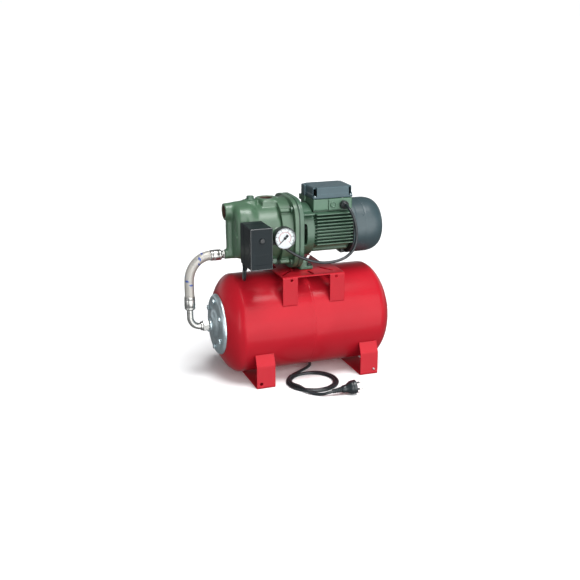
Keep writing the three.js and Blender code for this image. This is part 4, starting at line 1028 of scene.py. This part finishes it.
piece("filler_plug_head", filler(), "green_smooth", body="filler_plug", replaces="filler_plug",
      slot="green_paint")
piece("drain_plug_head", drain(), "green_smooth", body="drain_plug", replaces="drain_plug", slot="steel")

# ---- motor -------------------------------------------------------------------------------------------


def housing():
    low, high = own("motor_housing")
    front, back = HOUSING_X
    space = Space(low, high, 1.0)
    rod, box = space.rod, space.box
    body = rod(on_axis(front), on_axis(back), 62, 1)
    saddle_top = box((front + 4, back - 2), (-44, 44), (SHAFT_Z + 40, high[2]), 1.2)
    band = box((front, back), (-42, 42), (SHAFT_Z - 58.5, SHAFT_Z - 38), 8)
    body = join(body, saddle_top, band, fillet=4)
    for i in range(FIN_COUNT):
        z = FIN_LOWEST + i * FIN_PITCH
        reach = FIN_REACH * (1 - abs(z / 110) ** 3) ** (1 / 3)
        body = join(body, box((front + 4, back - 1), (-reach, reach),
                              (SHAFT_Z + z - FIN_HALF, SHAFT_Z + z + FIN_HALF), 1), fillet=1)
    return space.mesh(cut(body, rod(on_axis(front - 5), on_axis(back + 5), 58.3)))


def cowl():
    wall = 2.4
    space = Space(*own("fan_cover"), 1.0)
    r = np.sqrt(space.y ** 2 + (space.z - SHAFT_Z) ** 2)

    def dome_field(radius, end_radius, end):
        u = np.maximum(r - end_radius, 0) / (radius - end_radius)
        w = np.maximum(space.x - COWL_SHOULDER, 0) / (end - COWL_SHOULDER)
        power = 2 / 0.9
        crown = ((u ** power + w ** power) ** (1 / power) - 1) * (radius - end_radius)
        return np.where(space.x > COWL_SHOULDER, crown, r - radius)

    outer = dome_field(COWL_R, COWL_END_R, COWL_END)
    outer = outer + 0.4 * np.exp(-((space.x - COWL_RING) / 1.3) ** 2)
    band = rounded_corner([r - COWL_R, slab(space.x, COWL_X, COWL_X + 10) + 0.5]) - 0.5
    outer = np.maximum(np.minimum(outer, band), COWL_X - space.x)
    shell = cut(outer, dome_field(COWL_R - wall, COWL_END_R - wall, COWL_END - wall), edge=0.4)
    tools = []
    for i in range(12):
        a = 2 * pi * i / 12
        u = space.y * cos(a) + (space.z - SHAFT_Z) * sin(a)
        v = -space.y * sin(a) + (space.z - SHAFT_Z) * cos(a)
        gap = np.sqrt((u - np.clip(u, 16, 41)) ** 2 + v * v) - 2.6
        tools.append(np.maximum(gap, COWL_END - 18 - space.x))
    for x, y, z, size in ((169.6, -37.9, 466.9, 2.6), (165.8, -65.1, 440.4, 2.6),
                          (160.6, -67.3, 365.1, 1.8)):
        tools.append(space.rod((x, y * 0.985, SHAFT_Z + (z - SHAFT_Z) * 0.985),
                               (x, y * 1.1, SHAFT_Z + (z - SHAFT_Z) * 1.1), size, 0.3))
    return space.mesh(cut(shell, *tools, edge=0.4))


def rear_shield():
    x = HOUSING_X[1] + 0.3
    profile = [(8, x + 3), (12, x + 3), (17.6, x), (58, x), (73, x), (73, x + 12), (70, x + 12),
               (70, x + 5), (24, x + 5), (24, x + 16), (8, x + 16), (8, x + 3)]
    rim = soften(profile[:-1], 1, 2, True)
    return turned(rim + rim[:1], "x", (0, SHAFT_Z), 96)


def rear_lug():
    """The rounded lug of the end shield under the motor body."""
    x, low, high = HOUSING_X[1] + 0.3, SHAFT_Z - 76, SHAFT_Z - 62.6
    space = Space((x - 14, -15, low), (x + 0.5, 15, high), 0.6)
    return space.mesh(space.box((x - 14, x + 0.5), (-15, 15), (low, high), 4))


piece("motor_housing_finned", housing(), "green_smooth", replaces="motor_housing", crease=None)
# The end shield and its lug are coloured with painted shade, a near-black green, for the shadow between the
# fins and the cowl and under the motor.
piece("rear_shield_casting", rear_shield(), "green_dark", replaces="rear_shield", crease=30)
piece("rear_shield_lug", rear_lug(), "green_dark", crease=None)
piece("fan_cowl", cowl(), "cowl_plastic", replaces="fan_cover", crease=None)


def terminal_box():
    low, high = own("terminal_base")
    x, y, z = (22.5, high[0]), (-50, high[1]), (low[2], high[2])
    (gland_x, gland_face, gland_z), blank_x = GLAND, 78.3
    space = Space(low, high, 0.85)
    rod, box = space.rod, space.box
    body = box(x, y, z, 3)
    panel = box((66, x[1] - 3), (gland_face, y[0] + 4), (z[0] + 0.5, z[1] - 1), 1.6)
    blank = rod((blank_x, y[0], gland_z + 1.5), (blank_x, gland_face - 3, gland_z + 1.5), 8, 0.8)
    rear = box((x[0] - 5.5, x[0] + 6), (8, high[1]), (474.5, z[1]), 2)
    body = join(body, panel, rear, fillet=0.8)
    body = join(body, blank, fillet=0.6)
    tools = [box((x[0] + 3, x[1] - 3), (y[0] + 3, 33.5), (SHAFT_Z + 65.3, z[1] + 9), 1.5),
             rod((blank_x + 0.8, gland_face - 1, gland_z + 1.5),
                 (blank_x + 0.8, gland_face - 9, gland_z + 1.5), 5.6, 0.2),
             rod(on_axis(x[0] - 10), on_axis(x[1] + 10), 62.4, 0.2),
             rod((gland_x, gland_face - 5, gland_z), (gland_x, y[0] + 8, gland_z), 6.2, 0.2),
             rod((40, 0, z[0] - 5), (40, 0, z[1]), 8),
             rod(on_axis(HOUSING_X[1] - 0.5), on_axis(x[1] + 12), COWL_R + 0.9, 0.2)]
    return space.mesh(cut(body, *tools))


LID_X = 21.7


def terminal_lid():
    low, high = own("terminal_cover")
    x, y, z = (LID_X, high[0]), (low[1], high[1]), (low[2], high[2])
    space = Space(low, high, 0.85)
    box = space.box
    lower = box(x, y, (z[0], z[0] + 12), 2.2)
    upper = box((x[0] + 1.4, x[1] - 1.4), (y[0] + 1.4, y[1] - 1.4), (z[0] + 4, z[1]), 3)
    rear = box((low[0], x[0] + 12), (8, y[1] - 4), (z[0], z[1] - 1.5), 2.5)
    body = join(join(lower, upper, fillet=2), rear, fillet=1)
    tools = [box((x[0] + 3.8, x[1] - 3.8), (y[0] + 3.8, y[1] - 3.8), (z[0] - 8, z[1] - 5), 2)]
    for cx, cy in lid_screws():
        tools.append(space.rod((cx, cy, z[0] + 6), (cx, cy, z[1] + 4), 5.4, 0.4))
    return space.mesh(cut(body, *tools))


def lid_screws():
    (_, y0, _), (x1, y1, _) = own("terminal_cover")
    return [(x, y) for x in (LID_X + 5.5, x1 - 5.5) for y in (y0 + 2, y1 - 2)]


def lid_screw(x, y):
    """A domed cross-head screw at the bottom of its well."""
    z = own("terminal_cover")[0][2] + 6
    space = Space((x - 4, y - 4, z), (x + 4, y + 4, z + 3.4), 0.3)
    head = join(space.rod((x, y, z + 0.2), (x, y, z + 1.6), 3.7, 0.3),
                space.rod((x, y, z + 1), (x, y, z + 3), 3.4, 1.2, 2), fillet=0.5)
    cross = [space.box((x - a, x + a), (y - b, y + b), (z + 1.4, z + 5), 0.1)
             for a, b in ((1.9, 0.4), (0.4, 1.9))]
    return space.mesh(cut(head, *cross, edge=0.2))


piece("terminal_box_base", terminal_box(), "green_light", replaces="terminal_base", crease=None)
piece("terminal_box_lid", terminal_lid(), "box_plastic", replaces="terminal_cover", crease=None)
for i, (x, y) in enumerate(lid_screws()):
    piece(f"terminal_lid_screw_{i + 1}", lid_screw(x, y), "zinc", crease=None)


def cable_gland(start, out, across=22):
    """A compression gland for a lead: hexagon, domed nut and throat, out from a wall."""
    start, out = np.array(start, float), np.array(out, float)

    def at(distance):
        return start + out * distance

    points = np.vstack([at(-7), at(18)])
    space = Space(points.min(0) - 14, points.max(0) + 14, 0.55)
    field = join(space.hexagon(at(0.3), at(4.6), across, 0.5, 0.2), space.rod(at(4), at(5.4), 9.6, 0.2),
                 fillet=0.4)
    field = join(field, space.rod(at(5.4), at(13), 11.2, 0.8, 10.8), fillet=0.3)
    field = join(field, space.rod(at(12), at(17), 9.4, 1, 6.8), space.rod(at(-6), at(1), 5.9, 0.4),
                 fillet=1)
    return space.mesh(cut(field, space.rod(at(-12), at(30), 4.3, 0.2), edge=0.3))


piece("motor_cable_gland", cable_gland(GLAND, (0, -1, 0)), "black_plastic", replaces="motor_gland",
      crease=None)

# ---- pressure switch ---------------------------------------------------------------------------------

SWITCH_X, SWITCH_Z = (-196, -137), (344, 452.5)
SWITCH_BACK, SWITCH_SPLIT, SWITCH_FRONT, SWITCH_WALL = -88, -122, -178.3, 2.6
NUT = (-165.7, 421.5)


def switch_base():
    space = Space(*own("switch_base"), 0.9)
    rod, box = space.rod, space.box
    (x0, x1), (z0, z1), wall = SWITCH_X, SWITCH_Z, SWITCH_WALL
    body = box((x0, x1), (SWITCH_SPLIT + 0.15, SWITCH_BACK), (z0, z1), 2.4)
    body = cut(body, box((x0 + wall, x1 - wall), (SWITCH_SPLIT - 9, SWITCH_BACK - wall),
                         (z0 + wall, z1 - wall), 1.5))
    px, pz = SWITCH_PORT
    parts = [space.rod_y(px, pz, -74, SWITCH_BACK - wall - 4, 6, 0.5),
             space.hexagon((px, -84.3, pz), (px, SWITCH_BACK - 1, pz), 20, 0.5),
             space.rod_y(*NUT, SWITCH_BACK - 2, SWITCH_FRONT - 1.5, 3, 0.4)]
    bores = []
    for seat, out in (((x1, -104, 393), (1, 0, 0)), ((-187, -98, z0), (0, 0, -1))):
        seat, out = np.array(seat, float), np.array(out, float)
        parts.append(rod(seat - out, seat + out * RELIEF, 7.4, 0.6, 5.2))
        parts += [rod(seat + out * d, seat + out * (d + 1.5), 8 - d * 0.1, 0.4)
                  for d in (3, 6.4, 9.8, 13.2, 16.6)]
        bores.append(rod(seat - out * 11, seat + out * 30, 4.4, 0.2))
    return space.mesh(cut(join(body, *parts, fillet=0.8), *bores, edge=0.4))


def switch_cover():
    space = Space((SWITCH_X[0], SWITCH_FRONT, SWITCH_Z[0]), (SWITCH_X[1], SWITCH_SPLIT, SWITCH_Z[1]), 0.85)
    (x0, x1), (z0, z1), wall = SWITCH_X, SWITCH_Z, SWITCH_WALL
    box = space.box
    body = box((x0, x1), (SWITCH_FRONT, SWITCH_SPLIT + 6), (z0, z1), 2.4)
    body = np.maximum(body, space.y - (SWITCH_SPLIT - 0.15))
    badge = box((x0 + 9, x1 - 9), (SWITCH_FRONT - 0.25, SWITCH_FRONT + 3), (z0 + 14, z0 + 40), 0.4)
    room = box((x0 + wall, x1 - wall), (SWITCH_FRONT + wall + 1, SWITCH_SPLIT + 9), (z0 + wall, z1 - wall),
               2)
    hole = space.rod_y(*NUT, SWITCH_FRONT - 8, SWITCH_FRONT + 10, 3.6, 0.2)
    ring = space.rod_y(*NUT, SWITCH_FRONT - 0.4, SWITCH_FRONT + 3, 8.5, 0.4)
    return space.mesh(cut(join(join(body, badge, fillet=0.5), ring, fillet=0.5), room, hole))


def switch_trim():
    """The rounded edge round the hood's front."""
    (x0, x1), (z0, z1) = SWITCH_X, SWITCH_Z
    space = Space((x0 - 0.5, SWITCH_FRONT - 0.5, z0 - 0.5), (x1 + 0.5, SWITCH_FRONT + 3, z1 + 0.5), 0.55)
    rim = space.box((x0 - 0.3, x1 + 0.3), (SWITCH_FRONT - 0.5, SWITCH_FRONT + 2.6), (z0 - 0.3, z1 + 0.3),
                    1.5)
    inside = space.box((x0 + 2, x1 - 2), (SWITCH_FRONT - 9, SWITCH_FRONT + 9), (z0 + 2, z1 - 2), 1)
    return space.mesh(cut(rim, inside, edge=0.5))


def switch_nut():
    front = SWITCH_FRONT - 0.6

    def knurl(angle, along):
        return 0.22 * cos(18 * angle) if front - 3.8 < along < front - 0.6 else 0

    profile = [(3.4, front), (6.4, front), (6.5, front - 0.8), (6.3, front - 3.6), (5.6, front - 4.7),
               (3.2, front - 5), (0, front - 5), (0, front - 3.9), (3.4, front - 3.9), (3.4, front)]
    return turned(profile, "y", NUT, 108, knurl)


piece("switch_housing", switch_base(), "switch_plastic", replaces="switch_base", crease=None)
piece("switch_hood", switch_cover(), "switch_plastic", replaces="switch_cover", crease=None)
piece("switch_hood_trim", switch_trim(), "trim_plastic", crease=None)
piece("switch_hood_nut", switch_nut(), "black_plastic", replaces="switch_cover_nut", crease=35)

# ---- gauge -------------------------------------------------------------------------------------------


def on_gauge(profile, sides):
    return turned(profile, "y", (GAUGE_X, GAUGE_Z), sides)


def gauge_case():
    r, front, back, dial = GAUGE_R, GAUGE_FRONT, GAUGE_BACK, GAUGE_DIAL
    profile = [(0, dial), (r - 1.7, dial), (r - 1.7, front + 0.6), (r - 1.3, front), (r - 0.6, front),
               (r, front + 0.8), (r, front + 4.5), (r - 0.7, front + 5.2), (r - 0.7, back - 4),
               (r - 3.2, back - 0.6), (r - 5, back), (0, back)]
    return on_gauge(soften(profile, 0.5, 2), 120)


def gauge_stem():
    low = (GAUGE_X - 9, GAUGE_BACK - 1, GAUGE_Z - 9)
    space = Space(low, (GAUGE_X + 9, -74, GAUGE_Z + 9), 0.6)

    def at(y):
        return (GAUGE_X, y, GAUGE_Z)

    field = join(space.hexagon(at(GAUGE_BACK - 0.5), at(-90.3), 14, 0.5),
                 space.rod(at(-98), at(-74), 4.7, 0.4), fillet=0.6)
    return space.mesh(field)


def dial_marks():
    """The scale: a line round the dial, with long and short ticks, and an inner scale in red."""
    black = [(225 - 5.4 * i, 23.5 if i % 5 else 21.6, 1.6 if i % 10 == 0 else 0.7 if i % 5 else 1.2)
             for i in range(51)]
    red = [(225 - 270 / 28 * i, 14.4 if i % 4 else 13.2, 0.8) for i in range(29)]
    arc = np.radians(np.linspace(225, -45, 91))
    for kind, strokes, line in (("ink", black, 25.5), ("red_ink", red, 16.1)):
        points, faces = [], []
        for angle, inner, width in strokes:
            add_bar(points, faces, radians(angle), inner, line, width)
        for a, b in zip(arc, arc[1:]):
            add_arc(points, faces, a, b, line, line + 0.8)
        piece("dial_scale_" + kind, (points, faces), kind, slot="black_plastic", crease=None)


def add_bar(points, faces, angle, inner, outer, width):
    c, s, half = cos(angle), sin(angle), width / 2
    ends = ((inner, -half), (outer, -half), (outer, half), (inner, half))
    add_block(points, faces, [(r * c - w * s, r * s + w * c) for r, w in ends])


def add_arc(points, faces, a, b, inner, outer):
    ends = ((a, inner), (a, outer), (b, outer), (b, inner))
    add_block(points, faces, [(r * cos(angle), r * sin(angle)) for angle, r in ends], -1)


def add_block(points, faces, corners, turn=1):
    """A thin block lying on the dial, from four corners around the dial's centre."""
    start = len(points)
    for lift in (0.12, 0.01):
        points.extend((GAUGE_X + u, GAUGE_DIAL - lift, GAUGE_Z + w) for u, w in corners)
    top = (start, start + 1, start + 2, start + 3)
    quads = [top, tuple(i + 4 for i in reversed(top))]
    for i in range(4):
        j = (i + 1) % 4
        quads.append((top[i] + 4, top[j] + 4, top[j], top[i]))
    faces.extend(q[::turn] for q in quads)


def dial_number(text, angle, radius, size):
    curve = bpy.data.curves.new("digits", "FONT")
    curve.body = text
    curve.size = size * 0.001
    curve.align_x, curve.align_y = "CENTER", "CENTER"
    curve.extrude = 0.00006
    obj = add_object("digits", curve)
    mesh = bpy.data.meshes.new_from_object(obj.evaluated_get(bpy.context.evaluated_depsgraph_get()))
    bpy.data.objects.remove(obj)
    mesh.materials.clear()
    mesh.materials.append(MATERIAL["ink"])
    number = add_object("dial_number_" + text, mesh)
    number.location = place((GAUGE_X + radius * cos(angle), GAUGE_DIAL - 0.09,
                             GAUGE_Z + radius * sin(angle)))
    number.rotation_euler = (pi / 2, 0, 0)
    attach(number, "set")


def pointer():
    front, back = GAUGE_DIAL - 2, GAUGE_DIAL - 1.3
    outline = [(-1.7, 0), (-0.7, 20), (0, 21), (0.7, 20), (1.7, 0), (3.2, -4), (3.9, -8), (3, -11),
               (-3, -11), (-3.9, -8), (-3.2, -4)]
    turned_by = radians(135)
    points = []
    for y in (front, back):
        for u, w in outline:
            x, z = u * cos(turned_by) - w * sin(turned_by), u * sin(turned_by) + w * cos(turned_by)
            points.append((GAUGE_X + x, y, GAUGE_Z + z))
    n = len(outline)
    faces = [tuple(range(n)), tuple(reversed(range(n, 2 * n)))]
    faces += [(i, (i + 1) % n, (i + 1) % n + n, i + n) for i in range(n)]
    return points, outward(points, faces)


def pointer_hub():
    front, back = GAUGE_DIAL - 2.6, GAUGE_DIAL - 0.9
    return on_gauge([(0, front), (3.2, front), (4, front + 0.5), (4, back), (0, back)], 40)


def lens():
    r, front = GAUGE_R - 1.9, GAUGE_FRONT
    profile = [(0, front + 0.6), (r - 6, front + 0.7), (r, front + 1.2), (r, front + 2.2),
               (r - 6, front + 1.9), (0, front + 1.8)]
    return on_gauge(profile, 96)


def dial_face():
    r, y = GAUGE_R - 1.9, GAUGE_DIAL
    return on_gauge([(0, y - 0.02), (r, y - 0.02), (r, y + 0.4), (0, y + 0.4)], 96)


piece("gauge_housing", gauge_case(), "black_plastic", replaces="gauge_case", crease=40)
piece("gauge_stem", gauge_stem(), "brass", crease=None)
piece("gauge_dial", dial_face(), "dial", crease=40)
dial_marks()
for i in range(6):
    dial_number(str(2 * i), radians(225 - 54 * i), 18.9, 5.6)
piece("gauge_needle", pointer(), "ink", body="pointer", replaces="gauge_pointer", slot="black_plastic",
      crease=20)
piece("gauge_needle_hub", pointer_hub(), "ink", body="pointer", slot="black_plastic")
piece("gauge_window", lens(), "glass", replaces="gauge_lens", crease=None)

# ---- hose --------------------------------------------------------------------------------------------


def hose_route():
    route = [(HOSE_BEND_X, 0, HOSE_LOW_Z)]
    for a in np.linspace(pi, pi / 2, 40):
        route.append((HOSE_END_X + (HOSE_END_X - HOSE_BEND_X) * cos(a), 0,
                      HOSE_Z + HOSE_RISE * (sin(a) - 1)))
    return smooth_route(route[:1] + route[1::4] + route[-1:], 1.5)


def lay_on(sides, route):
    """Texture coordinates of a tube: millimetres along it, and turns around it."""
    distance = distances(route)

    def uv(corners, mesh):
        around = (corners % sides) / sides
        along = distance[corners // sides]
        starts = np.empty(len(mesh.polygons), np.int32)
        totals = np.empty(len(mesh.polygons), np.int32)
        mesh.polygons.foreach_get("loop_start", starts)
        mesh.polygons.foreach_get("loop_total", totals)
        for start, total in zip(starts, totals):
            part = around[start:start + total]
            if total == 4 and part.max() - part.min() > 0.5:
                around[start:start + total] = np.where(part < 0.5, part + 1, part)
        return np.stack([along, around], axis=1).astype(np.float32)

    return uv


def sleeve(from_t, to_t, direction):
    """Profile of a crimped sleeve from one end to the other."""
    length = abs(to_t - from_t)
    r = FERRULE_R
    shape = [(5, 0), (r - 1.4, 0), (r - 0.5, 0.8), (r, 2.4), (r, 5.6), (r - 0.5, 6.6), (r - 0.5, 8.2),
             (r, 9.2), (r, length - 8), (r - 0.5, length - 7), (r - 0.5, length - 5.6), (r, length - 4.6),
             (r, length - 2.4), (r - 2, length), (5, length), (5, 0)]
    return [(radius, from_t + direction * t) for radius, t in shape]


route = hose_route()
piece("braided_hose", tube(route, HOSE_R, 48), "braid", replaces="hose", crease=50, uv=lay_on(48, route))
upper = turned(sleeve(HOSE_END_X + 0.3, HOSE_END_X + 31, 1), "x", (0, HOSE_Z), 72)
piece("upper_hose_ferrule", upper, "nickel", replaces="upper_ferrule", crease=40)
lower = turned(sleeve(HOSE_LOW_Z - 0.3, HOSE_LOW_Z - 36, -1), "z", (HOSE_BEND_X, 0), 72)
piece("lower_hose_ferrule", lower, "nickel", crease=40)


def elbow():
    bend, radius = 28, 8.75
    points = [(FLANGE_FACE - 40, 0, TANK_Z), (HOSE_BEND_X + bend + 4, 0, TANK_Z)]
    for a in np.radians(np.linspace(270, 180, 9)):
        points.append((HOSE_BEND_X + bend * (1 + cos(a)), 0, TANK_Z + bend * (1 + sin(a))))
    points.append((HOSE_BEND_X, 0, HOSE_LOW_Z - 34))
    return tube(smooth_route(points, 2.0), radius, 40)


piece("hose_elbow_tube", elbow(), "nickel", replaces="hose_elbow", crease=50)


def elbow_nut():
    low, high = own("elbow_nut")
    space = Space((low[0], -16, TANK_Z - 16), (high[0], 16, TANK_Z + 16), 0.6)

    def at(x):
        return (x, 0, TANK_Z)

    nut = space.hexagon(at(low[0] + 5), at(high[0]), 27, 0.7, 0.1)
    collar = space.rod(at(low[0]), at(low[0] + 6), 12.2, 0.8)
    return space.mesh(cut(join(nut, collar, fillet=1), space.rod(at(low[0] - 3), at(high[0] + 3), 8.9, 0.2),
                          edge=0.3))


def nipple():
    low, high = own("hose_nipple")
    space = Space((low[0], -13, HOSE_Z - 13), (high[0], 13, HOSE_Z + 13), 0.6)

    def at(x):
        return (x, 0, HOSE_Z)

    face = HOSE_FACE
    field = join(space.hexagon(at(face - 6), at(face - 0.3), 21, 0.6, 0.2),
                 space.rod(at(low[0]), at(face), 8, 0.6),
                 space.rod(at(face - 1), at(high[0]), 7.6, 0.6), fillet=0.8)
    return space.mesh(cut(field, space.rod(at(low[0] - 9), at(high[0] + 9), 5, 0.2), edge=0.3))


piece("hose_elbow_nut", elbow_nut(), "nickel", replaces="elbow_nut", crease=None)
piece("hose_pump_nipple", nipple(), "nickel", replaces="hose_nipple", crease=None)

# ---- parts that keep their CAD shape -----------------------------------------------------------------

KEPT = {
    "steel": ("seal_rotary_ring", "motor_shaft", "rotor_core", "front_bearing", "rear_bearing",
              "switch_lever"),
    "copper": ("stator_core",), "resin": ("ejector", "diffuser", "capacitor"), "brass": ("impeller",),
    "rubber": ("tank_membrane", "seal_seat", "casing_gasket"), "black_plastic": ("cooling_fan",),
}
for material, nodes in KEPT.items():
    for node in nodes:
        mesh = frame["nodes"][node].data
        mesh.materials.clear()
        mesh.materials.append(MATERIAL[material])
